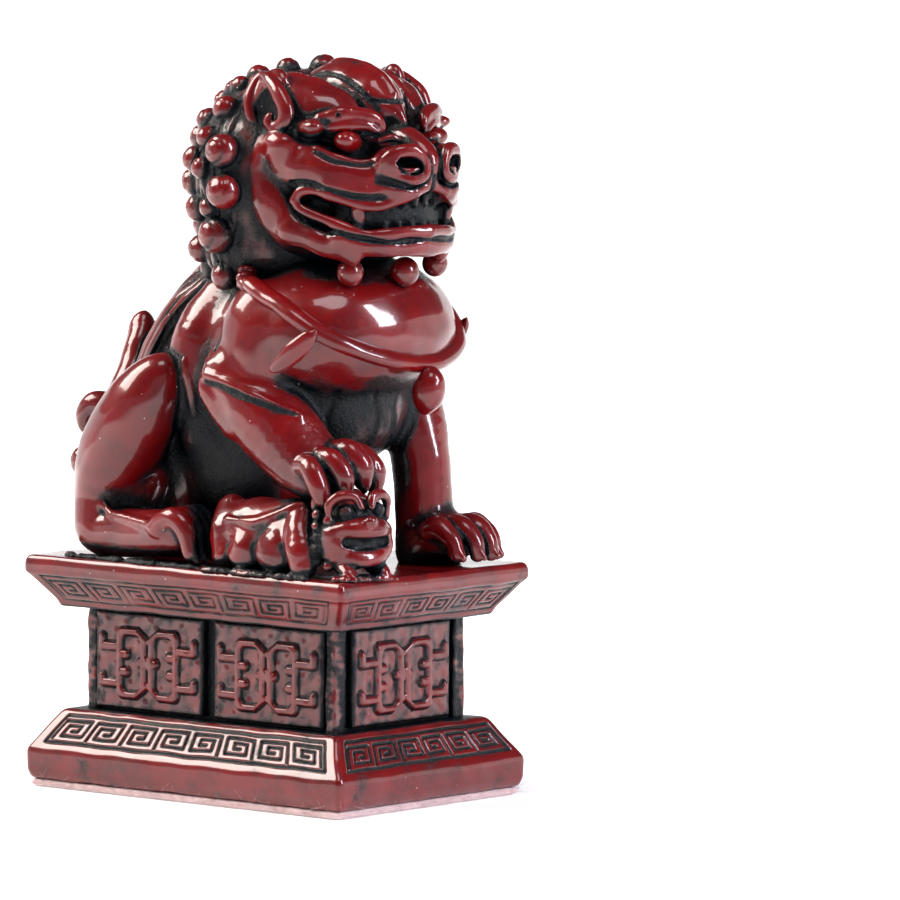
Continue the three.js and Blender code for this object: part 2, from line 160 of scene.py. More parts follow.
def add_node(tree, kind, settings=(), stops=(), **inputs):
    """One shader node with its settings, and each input either linked to a socket or set to a value. stops
    are the (position, grey or colour) stops of a colour ramp. An input that has no name of its own goes
    by its number, as _0."""
    node = tree.nodes.new(kind)
    for name, value in dict(settings).items():
        setattr(node, name, value)
    for number, (position, colour) in enumerate(stops):
        elements = node.color_ramp.elements
        element = elements[number] if number < len(elements) else elements.new(position)
        element.position = position
        element.color = [colour] * 3 + [1] if isinstance(colour, (int, float)) else colour
    for name, value in inputs.items():
        key = int(name[1:]) if name[0] == "_" else name.replace("_", " ")
        if isinstance(value, bpy.types.NodeSocket):
            tree.links.new(value, node.inputs[key])
        else:
            node.inputs[key].default_value = value
    return node


# ------------------------------------------------------------------ the sculptor's clay

def smooth_minimum(a, b, blend):
    """The smaller of two distances, rounded over where they are within blend of each other."""
    share = np.clip(0.5 + 0.5 * (b - a) / blend, 0, 1)
    return b + (a - b) * share - blend * share * (1 - share)


def smooth_path(points, steps=6):
    """A Catmull-Rom curve through given rows of numbers, steps samples to a span."""
    p = np.asarray(points, float)
    p = np.vstack([2 * p[0] - p[1], p, 2 * p[-1] - p[-2]])
    t = np.linspace(0, 1, steps, endpoint=False)[:, None]
    spans = []
    for a, b, c, d in zip(p[:-3], p[1:-2], p[2:-1], p[3:]):
        bend, twist = 2 * a - 5 * b + 4 * c - d, 3 * b - a - 3 * c + d
        spans.append(0.5 * (2 * b + (c - a) * t + bend * t**2 + twist * t**3))
    return np.vstack(spans + [p[-2:-1]])


def mirrored(points):
    """The same points on the other side of the plane X = 0."""
    p = np.array(points, float)
    p[..., 0] *= -1
    return p


def turning(angles):
    """The matrix that turns by angles in degrees about X, then Y, then Z."""
    x, y, z = np.radians(angles)
    about_x = np.array([[1, 0, 0], [0, np.cos(x), -np.sin(x)], [0, np.sin(x), np.cos(x)]])
    about_y = np.array([[np.cos(y), 0, np.sin(y)], [0, 1, 0], [-np.sin(y), 0, np.cos(y)]])
    about_z = np.array([[np.cos(z), -np.sin(z), 0], [np.sin(z), np.cos(z), 0], [0, 0, 1]])
    return about_z @ about_y @ about_x


def between(field, low, step, points):
    """The values of a regular grid at points, each a mean of the eight values round it, weighted by
    nearness."""
    f = np.clip((points - low) / step, 0, np.array(field.shape) - 1.001)
    i = f.astype(int)
    u = f - i
    total = 0.0
    for corner in np.ndindex(2, 2, 2):
        share = np.prod(np.where(np.array(corner), u, 1 - u), axis=1)
        total = total + share * field[tuple((i + corner).T)]
    return total


class Clay:
    """Distances to the figure's surface on a regular grid, below zero inside.

    yaw turns the finished skin about the neck, and narrow is the share by which its sides are drawn in.
    """

    def __init__(self, low, high, step, yaw=0.0, narrow=0.0):
        self.low, self.step, self.yaw, self.narrow = np.array(low, float), step, yaw, narrow
        counts = np.ceil((np.array(high) - low) / step).astype(int) + 1
        self.axes = [(self.low[i] + step * np.arange(counts[i])).astype(np.float32) for i in range(3)]
        self.field = np.full(counts, FAR, np.float32)
        self.dark_patches = []

    def near(self, low, high, margin):
        """The slices of the grid within margin of a box, and their coordinates ready to broadcast."""
        cuts = tuple(slice(int(np.searchsorted(axis, a - margin)), int(np.searchsorted(axis, b + margin)))
            for axis, a, b in zip(self.axes, low, high))
        x, y, z = [axis[cut] for axis, cut in zip(self.axes, cuts)]
        return cuts, x[:, None, None], y[None, :, None], z[None, None, :]

    def merge(self, cuts, distance, blend, cut):
        """Joins a shape to the clay, or cuts it away, rounding the join over blend."""
        old = self.field[cuts]
        if old.size:
            self.field[cuts] = -smooth_minimum(-old, distance, blend) if cut else smooth_minimum(old,
                distance, blend)

    def egg(self, centre, radii, turn=None, blend=1.5, cut=False):
        """An ellipsoid: the distance is k(k-1)/g, with k the point scaled by the radii and g its slope."""
        reach = np.array(radii, float) if turn is None else np.full(3, max(radii))
        centre = np.array(centre, float)
        cuts, x, y, z = self.near(centre - reach, centre + reach, 2.0 + blend)
        x, y, z = x - centre[0], y - centre[1], z - centre[2]
        if turn is not None:
            m = turning(turn).T
            x, y, z = [m[i, 0] * x + m[i, 1] * y + m[i, 2] * z for i in range(3)]
        k = np.sqrt((x / radii[0])**2 + (y / radii[1])**2 + (z / radii[2])**2) + 1e-6
        g = np.sqrt((x / radii[0]**2)**2 + (y / radii[1]**2)**2 + (z / radii[2]**2)**2) + 1e-6
        self.merge(cuts, (k * (k - 1) / g).astype(np.float32), blend, cut)

    def rope(self, points, blend=0.6, cut=False, steps=5, flatten=None):
        """A tapering rope through [x, y, z, radius] points: the least distance to the cones of its spans.

        flatten is (direction, factor): distances along that direction count factor times, which flattens it.
        """
        p = smooth_path(points, steps)
        reach = p[:, 3:].max()
        cuts, x, y, z = self.near(p[:, :3].min(0) - reach, p[:, :3].max(0) + reach, 1.6 + blend)
        best = np.full(np.broadcast_shapes(x.shape, y.shape, z.shape), FAR, np.float32)
        for a, b in zip(p[:-1], p[1:]):
            along = b[:3] - a[:3]
            long = max(float(along @ along), 1e-9)
            dx, dy, dz = x - a[0], y - a[1], z - a[2]
            t = np.clip((dx * along[0] + dy * along[1] + dz * along[2]) / long, 0, 1)
            ox, oy, oz = dx - t * along[0], dy - t * along[1], dz - t * along[2]
            square = ox**2 + oy**2 + oz**2
            if flatten is not None:
                n = np.array(flatten[0], float) / np.linalg.norm(flatten[0])
                square = square + (flatten[1]**2 - 1) * (ox * n[0] + oy * n[1] + oz * n[2])**2
            np.minimum(best, np.sqrt(square) - (a[3] + t * (b[3] - a[3])), out=best)
        self.merge(cuts, best, blend, cut)

    def both(self, make, points, **how):
        """The same egg or rope on the right side, as given, and mirrored on the left."""
        make(points, **how)
        if how.get("turn") is not None:
            x, y, z = how["turn"]
            how["turn"] = (x, -y, -z)
        make(mirrored(points), **how)

    def flat_below(self, height):
        """Cuts everything below a level."""
        z = self.axes[2][None, None, :]
        self.field = np.maximum(self.field, height - z)

    def roughen(self, amount, wavelength, seed):
        """Low hand-made lumps: a sum of sines of random directions, added to the distances."""
        draw = np.random.default_rng(seed)
        x, y, z = self.axes[0][:, None, None], self.axes[1][None, :, None], self.axes[2][None, None, :]
        for _ in range(7):
            way = draw.normal(size=3)
            way *= 2 * np.pi / (wavelength * draw.uniform(0.7, 1.5) * np.linalg.norm(way))
            phase = way[0] * x + way[1] * y + way[2] * z + draw.uniform(0, FULL_TURN)
            self.field += np.float32(amount / 2.6) * np.sin(phase)

    def at(self, points):
        """The field at points of the clay's own frame, between grid values in proportion."""
        return between(self.field, self.low, self.step, points)

    def sample(self, points):
        """The field at points of the figure's frame, and FAR outside the grid."""
        p = self.to_local(points)
        outside = np.any((p < self.low) | (p > self.low + self.step * (np.array(self.field.shape) - 1)),
            axis=1)
        return np.where(outside, FAR, self.at(p))

    def settle(self, points, steps=5):
        """A smooth path through [x, y, z, radius] points, moved along the field's slope on to the surface."""
        p = smooth_path(points, steps)
        for _ in range(4):
            slope = np.stack([self.at(p[:, :3] + d) - self.at(p[:, :3] - d) for d in 0.4 * np.eye(3)],
                1) / 0.8
            size = np.maximum((slope**2).sum(1), 0.2)
            p[:, :3] -= np.clip(self.at(p[:, :3]) / size, -1.5, 1.5)[:, None] * slope
        return p

    def line(self, points, blend=0.3, cut=True, stain=0.0):
        """A groove, or with cut false a raised cord, that follows the surface, with wash along it if stain
        is set."""
        path = self.settle(points)
        self.rope(path, blend, cut, steps=1)
        if stain:
            path[:, 3] = path[:, 3] + 0.2
            self.dark_patches.append((path, stain))

    def stain(self, points, amount=0.6):
        """Darkening within the radius of a path of [x, y, z, radius] points: wash in grooves and hollows, and
        painted shade in the deepest hollows.
        """
        self.dark_patches.append((smooth_path(points, 4) if len(points) > 1 else np.array(points, float), amount))

    def patch_darkness(self, points):
        """The darkening of all dark patches, wash and painted shade, at points of the clay's own frame."""
        total = np.zeros(len(points))
        for path, amount in self.dark_patches:
            share = np.zeros(len(points))
            for a, b in zip(path, np.vstack([path[1:], path[-1:]])):
                along = b[:3] - a[:3]
                t = np.clip((points - a[:3]) @ along / max(along @ along, 1e-9), 0, 1)
                away = np.linalg.norm(points - a[:3] - t[:, None] * along,
                    axis=1) / (a[3] + t * (b[3] - a[3]))
                share = np.maximum(share, np.clip(1.6 - 1.3 * away, 0, 1))
            total += amount * share
        return total

    def to_local(self, points):
        """Undoes to_world."""
        c, s = math.cos(-self.yaw), math.sin(-self.yaw)
        p = points - NECK
        x, y = (c * p[:, 0] - s * p[:, 1]) / (1 - self.narrow), s * p[:, 0] + c * p[:, 1]
        return np.stack([x, y - 0.8 * self.narrow * (np.sqrt(x**2 + 9) - 3), p[:, 2]], 1) + NECK

    def to_world(self, points):
        """Narrows the piece, setting its sides back a little as it does, and turns it by its yaw about the
        neck."""
        c, s = math.cos(self.yaw), math.sin(self.yaw)
        x, y, z = (points - NECK).T
        y = y + 0.8 * self.narrow * (np.sqrt(x**2 + 9) - 3)
        x = x * (1 - self.narrow)
        return np.stack([c * x - s * y, s * x + c * y, z], 1) + NECK

    def skin(self):
        """Vertices and quads where the field is zero: one vertex in each cell that the surface crosses, at
        the mean of its crossings of the cell's edges, and one quad round each grid edge that it crosses."""
        f = self.field
        for axis in range(3):
            edge = [slice(None)] * 3
            for end in (0, -1):
                edge[axis] = end
                f[tuple(edge)] = np.maximum(f[tuple(edge)], 0.05)
        inside = f < 0
        count = sum(inside[tuple(slice(c, s - 1 + c) for c, s in zip(corner, f.shape))].astype(np.int8)
            for corner in np.ndindex(2, 2, 2))
        cell = np.argwhere((count > 0) & (count < 8))
        number = np.full(count.shape, -1, np.int64)
        number[tuple(cell.T)] = np.arange(len(cell))
        total, crossings = np.zeros((len(cell), 3)), np.zeros(len(cell))
        for axis in range(3):
            others = [i for i in range(3) if i != axis]
            for offset in np.ndindex(2, 2):
                start = np.zeros(3, int)
                start[others] = offset
                end = start.copy()
                end[axis] = 1
                a, b = f[tuple((cell + start).T)], f[tuple((cell + end).T)]
                cross = (a < 0) != (b < 0)
                t = a[cross] / (a[cross] - b[cross])
                total[cross] += start + t[:, None] * (end - start)
                crossings[cross] += 1
        vertices = self.low + self.step * (cell + total / crossings[:, None])
        quads = []
        for axis in range(3):
            ahead = [slice(None)] * 3
            ahead[axis] = slice(1, None)
            behind = [slice(None)] * 3
            behind[axis] = slice(None, -1)
            first, second = inside[tuple(behind)], inside[tuple(ahead)]
            edge = np.argwhere(first != second)
            edge = edge[np.all(edge[:, [i for i in range(3) if i != axis]] > 0, axis=1)]
            u, v = np.zeros(3, int), np.zeros(3, int)
            u[(axis + 1) % 3], v[(axis + 2) % 3] = 1, 1
            quad = np.stack([number[tuple((edge - d).T)] for d in (u * 0, u, u + v, v)], 1)
            back = ~first[tuple(edge.T)]
            quad[back] = quad[back][:, ::-1]
            quads.append(quad)
        return vertices, np.vstack(quads)


# ------------------------------------------------------------------ the lion's head, looking along -Y

def carve_face(clay):
    """Skull, cheeks, muzzle and forehead, before the mouth is opened."""
    clay.egg((0, -14, 131.5), (22.5, 15.5, 14.5), blend=2)
    clay.egg((0, -27, 127), (17.5, 13, 8), blend=3)
    clay.egg((0, -20, 116), (21, 13, 8), blend=3)
    # cheek and muzzle: one swelling that runs forward from below the ear to the nose
    clay.both(clay.rope, [(-19.6, -17, 130.5, 4.4), (-17.4, -25, 128.2, 5), (-13, -31.4, 126.4, 5.2),
        (-7, -36, 126, 5)], blend=2.4)
    clay.both(clay.egg, (-21.4, -21, 132.4), radii=(3.4, 4.2, 3.2), blend=1.6)
    # jaw joint, behind the mouth's corner
    clay.both(clay.rope, [(-19.6, -15, 127, 5), (-19.8, -17.5, 121, 4.6), (-18.6, -20.5, 117, 4)], blend=2)
    # forehead: three smooth lobes that run back from the brows, each with a fine crest
    clay.both(clay.egg, (-13, -18.4, 138.8), radii=(6.8, 13.4, 7), turn=(12, 0, 20), blend=0.5)
    clay.egg((0, -20.4, 140.8), (7.8, 13, 8), turn=(9, 0, 0), blend=0.4)
    clay.rope([(0, -29, 140.2, 3.2), (0, -32.2, 138.8, 2.2), (0, -34.2, 137.6, 1.1)], blend=0.8)
    clay.both(clay.line, [(-14, -10, 146, 0.25), (-12.6, -18, 146, 0.35), (-10.2, -24.6, 144, 0.35),
        (-7.8, -29.4, 141, 0.3)], blend=1.6, cut=False)
    clay.line([(0, -12, 148, 0.25), (0, -20, 149, 0.35), (0, -27, 147, 0.35), (0, -31.4, 142.6, 0.3)],
        blend=1.6, cut=False)
    # the dark seams between the lobes
    clay.both(clay.line, [(-5.2, -8, 147, 0.5), (-6.8, -16, 147.6, 0.45), (-6.8, -23, 146.4, 0.5),
        (-5.8, -28.6, 143, 0.5), (-4.8, -32.2, 139.6, 0.4)], stain=0.3)
    clay.line([(-5.6, -31.2, 141.6, 0.35), (0, -33.4, 141.4, 0.4), (5.6, -31.2, 141.6, 0.35)], stain=0.35)


def carve_eyes(clay):
    """Deep sockets with a lower rim, bulging eyes, sausage eyebrows with a hooked inner end, temple lobes."""
    clay.both(clay.egg, (-13, -34.6, 133), radii=(6.4, 4.8, 3.7), turn=(0, 8, 24), blend=1, cut=True)
    clay.both(clay.stain, [(-16.8, -30.4, 133.2, 1.2), (-14.4, -31, 133, 2.5), (-10.4, -33, 133.4, 2.5),
        (-8, -35.6, 134.4, 1)], amount=0.8)
    clay.both(clay.line, [(-18.8, -28.6, 133.4, 0.5), (-17.6, -31, 131, 0.7), (-15.4, -33.6, 129.9, 0.8),
        (-12.6, -36, 129.9, 0.8), (-10.6, -37.4, 131.6, 0.6)], blend=0.6, cut=False)
    clay.both(clay.line, [(-19.4, -28.6, 131.6, 0.35), (-17, -32.6, 129.2, 0.4), (-13.4, -36.2, 128.6, 0.4),
        (-10.6, -38, 129.8, 0.4)], stain=0.3)
    clay.both(clay.rope, [(-17.4, -28.2, 138.2, 1.2), (-14.4, -30.6, 138.8, 1.7), (-10.8, -32.4, 138.8, 1.7),
        (-7.6, -33.9, 137.9, 1.4), (-6.4, -34.6, 136.4, 0.9), (-6.8, -34.6, 135.2, 0.5)], blend=0.5)
    clay.both(clay.rope, [(-16.4, -29.8, 136.4, 0.9), (-13.4, -32, 136.9, 1.2), (-10, -33.6, 136.7, 1.1),
        (-7.8, -34.6, 135.6, 0.7)], blend=0.4)
    clay.both(clay.stain, [(-17.6, -29, 140.2, 0.8), (-13, -31.4, 141.2, 0.9), (-8.6, -33.4, 140.4, 0.9)],
        amount=0.35)
    clay.both(clay.egg, (-15.6, -31.6, 138.9), radii=(0.5, 1.2, 0.5), blend=0.3, cut=True)
    clay.both(clay.egg, (-17.8, -26, 136), radii=(2.8, 5, 1.8), turn=(-8, 0, -34), blend=1.2)
    clay.both(clay.line, [(-21.6, -21, 136.4, 0.5), (-20.4, -25.6, 134.6, 0.6), (-18, -29.4, 134.6, 0.6)],
        stain=0.4)
    # small folds between the eye and the nose
    clay.both(clay.rope, [(-8.6, -36.6, 133.8, 0.6), (-6.4, -37.8, 134.4, 0.8), (-4.4, -38.2, 133.8, 0.6)],
        blend=0.5)
    clay.stain([(-5, -35.6, 135.6, 1.4), (0, -36.2, 136, 1.4), (5, -35.6, 135.6, 1.4)], amount=0.35)


def carve_nose(clay):
    """A broad nose: a bridge, two rolled wings round deep nostrils, and a flared outer rim under each."""
    clay.rope([(0, -33, 134, 3), (0, -37.6, 132.4, 3.2), (0, -41, 129.6, 3), (0, -42, 126.6, 1.8)], blend=1.6)
    clay.both(clay.egg, (-6.6, -39, 129), radii=(5.2, 4.6, 3.9), turn=(0, 12, 20), blend=1.2)
    clay.both(clay.egg, (-6.4, -38.8, 124.2), radii=(5, 4.2, 3.2), turn=(0, 4, 14), blend=1)
    clay.both(clay.rope, [(-11, -39.2, 128.2, 0.9), (-10.6, -40.2, 130.4, 1.2), (-8.2, -41.8, 131.7, 1.4),
        (-5, -43, 131.8, 1.4), (-3, -43.6, 129.8, 1.2), (-3.2, -43.8, 127.2, 1.1), (-6, -43.1, 126.3, 1.1),
        (-9, -41.4, 126.8, 1), (-10.4, -40, 127.6, 0.7)], blend=0.5)
    clay.both(clay.egg, (-6.6, -42.6, 129), radii=(3.3, 3, 1.8), turn=(0, 16, 18), blend=0.4, cut=True)
    clay.both(clay.rope, [(-8.4, -41.2, 128.4, 0.5), (-6.8, -43, 128, 0.6), (-4.8, -43.8, 128.4, 0.4)],
        blend=0.4)
    clay.both(clay.stain, [(-9, -40.2, 128.8, 1.1), (-6.6, -41, 129, 1.6), (-4.4, -42.2, 129, 1.1)],
        amount=0.8)
    clay.both(clay.line, [(-11.2, -38.6, 126, 0.5), (-8.6, -41.8, 125, 0.55), (-5.2, -43.4, 124.9, 0.55),
        (-2.6, -43.4, 126, 0.5), (-1.8, -43.6, 128, 0.4)], stain=0.5)
    clay.line([(0, -43, 127, 0.4), (0, -43.6, 124.6, 0.5), (0, -43, 122.4, 0.5)], stain=0.4)


def carve_mouth(clay):
    """The open mouth: rolled lips that turn round its corners, a groove outside them, teeth, and a tongue."""
    upper = [(-20.7, -26.4, 123.6), (-19.4, -29.1, 123.9), (-17.1, -33, 122.6), (-12.8, -37.6, 120.9),
        (-8.3, -40.9, 122), (-4.4, -42.4, 123.7)]
    lower = [(-20.4, -26.4, 119.8), (-17.9, -31.2, 117.8), (-15.4, -34.6, 116.2), (-12.8, -37.2, 115.3),
        (-9, -39.8, 115.4), (-5.2, -41.4, 115.8), (0, -42.2, 115.8)]
    corner = (-21.4, -25, 121.7)
    clay.both(clay.rope, [(-7.2, -38.6, 124.4, 2.4), (-12.4, -36, 122.8, 2.4), (-17, -31, 124, 2.2)],
        blend=1.6)
    clay.rope([(-15.5, -32.6, 114.2, 2.6), (-9, -37.6, 113, 2.6), (0, -39.6, 113.2, 2.6),
        (9, -37.6, 113, 2.6), (15.5, -32.6, 114.2, 2.6)], blend=2)
    clay.both(clay.rope, [(-19.6, -22.5, 115.6, 2.8), (-17, -29, 113.4, 2.6), (-13.4, -33.6, 111, 1.9)],
        blend=1.4)
    # the hollow of the mouth and the slot that runs back to its corners
    clay.egg((0, -33, 119.6), (15, 13, 3.4), blend=0.6, cut=True)
    clay.egg((0, -28, 119), (13, 9.5, 5), blend=0.5)
    clay.rope([(-10, -31.4, 119, 4.4), (0, -35, 119, 4.6), (10, -31.4, 119, 4.4)], blend=0.5)
    clay.both(clay.rope, [(-21, -25.4, 121.7, 1.1), (-18.4, -30.2, 120.8, 1.5), (-15.4, -34, 118.9, 1.6),
        (-10, -39, 118.9, 2.2), (0, -43, 119.8, 3)], blend=0.4, cut=True)
    clay.rope([(-4.5, -44, 121, 1.6), (0, -44.5, 122, 1.8), (4.5, -44, 121, 1.6)], blend=0.6, cut=True)
    # lips
    rim = [(*corner, 0.8)] + [(*p, 1.05) for p in upper]
    clay.both(clay.rope, rim, blend=0.5)
    clay.rope([(*upper[-1], 1.05), (0, -42.2, 124.9, 1.1), (4.4, -42.4, 123.7, 1.05)], blend=0.5)
    clay.both(clay.rope, [(*corner, 0.8)] + [(*p, 1.15) for p in lower], blend=0.5)
    # the groove outside the lips
    clay.both(clay.line, [(-4.6, -43, 125, 0.3), (-8.4, -41.6, 123.4, 0.45), (-11.8, -39.2, 122.8, 0.5),
        (-15.5, -35.6, 123, 0.5), (-18.6, -31.4, 124.4, 0.5), (-20.9, -27.4, 125.4, 0.5),
        (-22.2, -24.2, 124.5, 0.55), (-22.4, -23, 121.8, 0.55), (-21.4, -25, 119, 0.55),
        (-18.6, -30.8, 116.3, 0.5), (-15.4, -34.6, 114.6, 0.5), (-10, -39.4, 113.8, 0.45),
        (-4, -42.2, 114, 0.4), (0, -42.8, 114.1, 0.4)], stain=0.5)
    clay.stain([(-20.6, -25.6, 121.8, 1), (-16, -30, 120, 2.2), (-8, -34, 119.4, 4), (0, -36, 119.4, 4.6),
        (8, -34, 119.4, 4), (16, -30, 120, 2.2), (20.6, -25.6, 121.8, 1)], amount=0.85)
    # upper and lower fangs, small front teeth, tongue
    clay.both(clay.rope, [(-13.2, -35.4, 121.6, 1.9), (-12.9, -35.2, 118.6, 1.5), (-12.7, -35, 116, 0.9)],
        blend=0.5)
    for x in (-7.6, -4.6, -1.6, 1.6, 4.6, 7.6):
        y = -40.4 + 0.035 * x * x
        clay.rope([(x, y + 1, 122.8, 1.1), (x, y + 1, 121.2, 0.9)], blend=0.3)
        clay.rope([(x, y + 1.6, 115.8, 1.1), (x, y + 1.6, 116.9, 0.9)], blend=0.3)
    clay.rope([(0, -22, 118, 3), (0, -30, 117.8, 3.2), (0, -36.5, 117.4, 2.6)], blend=0.8,
        flatten=((0, 0, 1), 1.6))
    # under the jaw: a scalloped edge with a point under each fang
    clay.both(clay.egg, (-6.2, -36, 108.8), radii=(5.6, 5.4, 3), turn=(0, -14, 0), blend=0.6, cut=True)
    clay.both(clay.rope, [(-13.2, -33.8, 112.4, 1.8), (-13.3, -33.6, 109.8, 0.8)], blend=1)


def carve_ears(clay):
    """Leaf-shaped ears: a rolled rim that curls in on itself at the foot of its front edge, round a dark
    hollow."""
    clay.both(clay.egg, (-18.6, -14.4, 140.4), radii=(3, 4.6, 7.6), turn=(20, 8, 6), blend=0.6)
    clay.both(clay.egg, (-22, -16, 139.6), radii=(2.8, 2.9, 5.9), turn=(24, 6, 6), blend=0.4, cut=True)
    clay.both(clay.rope, [(-20.6, -16.2, 133.8, 0.8), (-21.6, -12.8, 137.4, 1.1), (-21.2, -11.6, 141.6, 1.2),
        (-18.9, -12.6, 146, 1), (-20.2, -17.6, 144.2, 1.5), (-20.9, -21.4, 140.8, 1.7),
        (-21.2, -22, 137.4, 1.7), (-21.6, -19.6, 135.8, 1.4), (-22.2, -18.2, 137, 1.1),
        (-22.2, -18.6, 138.2, 0.7)], blend=0.4)
    clay.both(clay.stain, [(-20.4, -15.6, 135.4, 1), (-20, -15.4, 139.6, 2.3), (-19.4, -14.6, 143.6, 1.1)],
        amount=0.8)
    clay.both(clay.rope, [(-17.6, -23.4, 142.8, 0.6), (-19.6, -24.4, 138.4, 0.8),
        (-20.4, -22.4, 134.6, 0.8)], blend=0.5, cut=True)


def sculpt_head(step):
    """The lion's head, unturned; its yaw about the neck comes with the skin."""
    clay = Clay((-28, -47, 104), (28, 3, 151.5), step, HEAD_YAW, narrow=0.09)
    carve_face(clay)
    carve_mouth(clay)
    carve_eyes(clay)
    carve_nose(clay)
    carve_ears(clay)
    clay.both(clay.stain, [(-22, -13, 135, 2), (-22.6, -12, 129, 2.4), (-22.4, -11, 122, 2.4),
        (-21, -12, 115, 2.6)], amount=0.7)
    clay.roughen(0.12, 6.0, seed=3)
    return clay


# ------------------------------------------------------------------ the mane

MANE_EGGS = [((0, -6.5, 126), (25.2, 17.2, 20.8)), ((0, -5, 112), (22, 15.4, 13))]
# Curls stand in columns round the back of the head: degrees from the back, and (height, radius) down each.
MANE_COLUMNS = [
    (98, [(131, 3.3), (123, 3.4)]),
    (88, [(114, 3.7), (105.6, 2.8)]),
    (79, [(139, 2.6), (133.4, 2.2), (127.3, 2.2), (119.5, 2)]),
    (60, [(143, 2.3), (136.4, 2.5), (128.8, 2.6), (119, 2.8), (110.6, 2.7)]),
    (41, [(139.8, 2.5), (132.6, 2.8), (124, 3), (115, 3), (106.6, 2.6)]),
    (20, [(143, 2.4), (136.6, 2.7), (128.4, 3), (119.6, 3.1), (110.8, 2.9)]),
    (0, [(139.8, 2.5), (132.4, 2.8), (124, 3), (115.2, 3.1), (106.8, 2.7)]),
]
CROWN_CURLS = [(-7.8, -0.6, 145, 2.6), (-2.4, -3.4, 146.5, 2.5), (3.6, -7.6, 146.6, 3.1),
    (9.8, -10.6, 145.9, 2.5), (8.4, -1.4, 144.8, 2.6), (1.6, 2.8, 144, 2.5), (-12.8, -5.6, 144, 2),
    (15, -4.8, 142.8, 2.3), (-4.4, 4.4, 142.6, 2.4), (13.4, 3.2, 140.8, 2.4), (-12.4, 1.6, 142.4, 2.2)]


def mane_point(angle, height):
    """The point of the mane's cap at an angle from the back and a height: the outer of its two eggs there."""
    best = None
    for centre, radii in MANE_EGGS:
        share = math.sqrt(max(0.0, 1 - ((height - centre[2]) / radii[2])**2))
        point = (-radii[0] * share * math.sin(angle), centre[1] + radii[1] * share * math.cos(angle), height)
        if best is None or math.hypot(point[0], point[1] + 6) > math.hypot(best[0], best[1] + 6):
            best = point
    return np.array(best)


def snail(clay, centre, radius, out, hand):
    """A snail curl: a ball with a spiral groove that winds in to its middle, round the direction it faces."""
    out = np.array(out, float) / np.linalg.norm(out)
    side = np.cross(out, (0, 0, 1))
    side /= np.linalg.norm(side) + 1e-9
    rise = np.cross(side, out)
    clay.egg(centre, (radius, radius, radius), blend=0.35)
    turn = np.linspace(0, 1, 15)
    angle = hand * (0.6 + 2 * np.pi * 1.45 * turn)
    away = radius * (0.99 - 0.78 * turn**0.8)
    lift = np.sqrt(np.maximum((radius * 1.02)**2 - away**2, 0))
    ring = np.cos(angle)[:, None] * side + np.sin(angle)[:, None] * rise
    path = centre + away[:, None] * ring + lift[:, None] * out
    groove = radius * 0.085 * (1 - 0.35 * turn)
    clay.rope(np.column_stack([path, groove]), blend=0.35, cut=True, steps=2)


def sculpt_mane(step):
    """A cap behind the head, covered with snail curls, with wisps of hair running between them."""
    clay = Clay((-31, -18, 99), (31, 18, 151), step, HEAD_YAW)
    for centre, radii in MANE_EGGS:
        clay.egg(centre, radii, blend=2)
    wisps = np.random.default_rng(5)
    for start in np.radians(np.arange(-104, 105, 7)):
        heights = np.linspace(143, 101, 9)
        sway = wisps.uniform(0, FULL_TURN)
        path = [mane_point(start + 0.07 * math.sin(h / 4.6 + sway), h) for h in heights]
        clay.rope(np.column_stack([path, np.full(9, 0.62)]), blend=0.35, steps=3)
    for number, (degrees, balls) in enumerate(MANE_COLUMNS):
        for side in ((1, -1) if degrees else (1,)):
            for row, (height, radius) in enumerate(balls):
                angle = math.radians(degrees + 3 * math.sin(2.1 * row + number)) * side
                point = mane_point(angle, height)
                out = point - np.array([0, -8, height - 1.5])
                out /= np.linalg.norm(out)
                snail(clay, point + out * 0.32 * radius, 1.06 * radius, out + (0, 0, 0.15),
                    side if row % 2 else -side)
    for x, y, z, radius in CROWN_CURLS:
        out = np.array([x, y + 6, 16.0])
        snail(clay, np.array([x, y, z]), radius, out + (-6, -4, 0), 1 if x < 0 else -1)
    clay.stain([(0, -8, 150, 45), (0, -8, 100, 45)], amount=0.34)
    return clay


# ------------------------------------------------------------------ the body

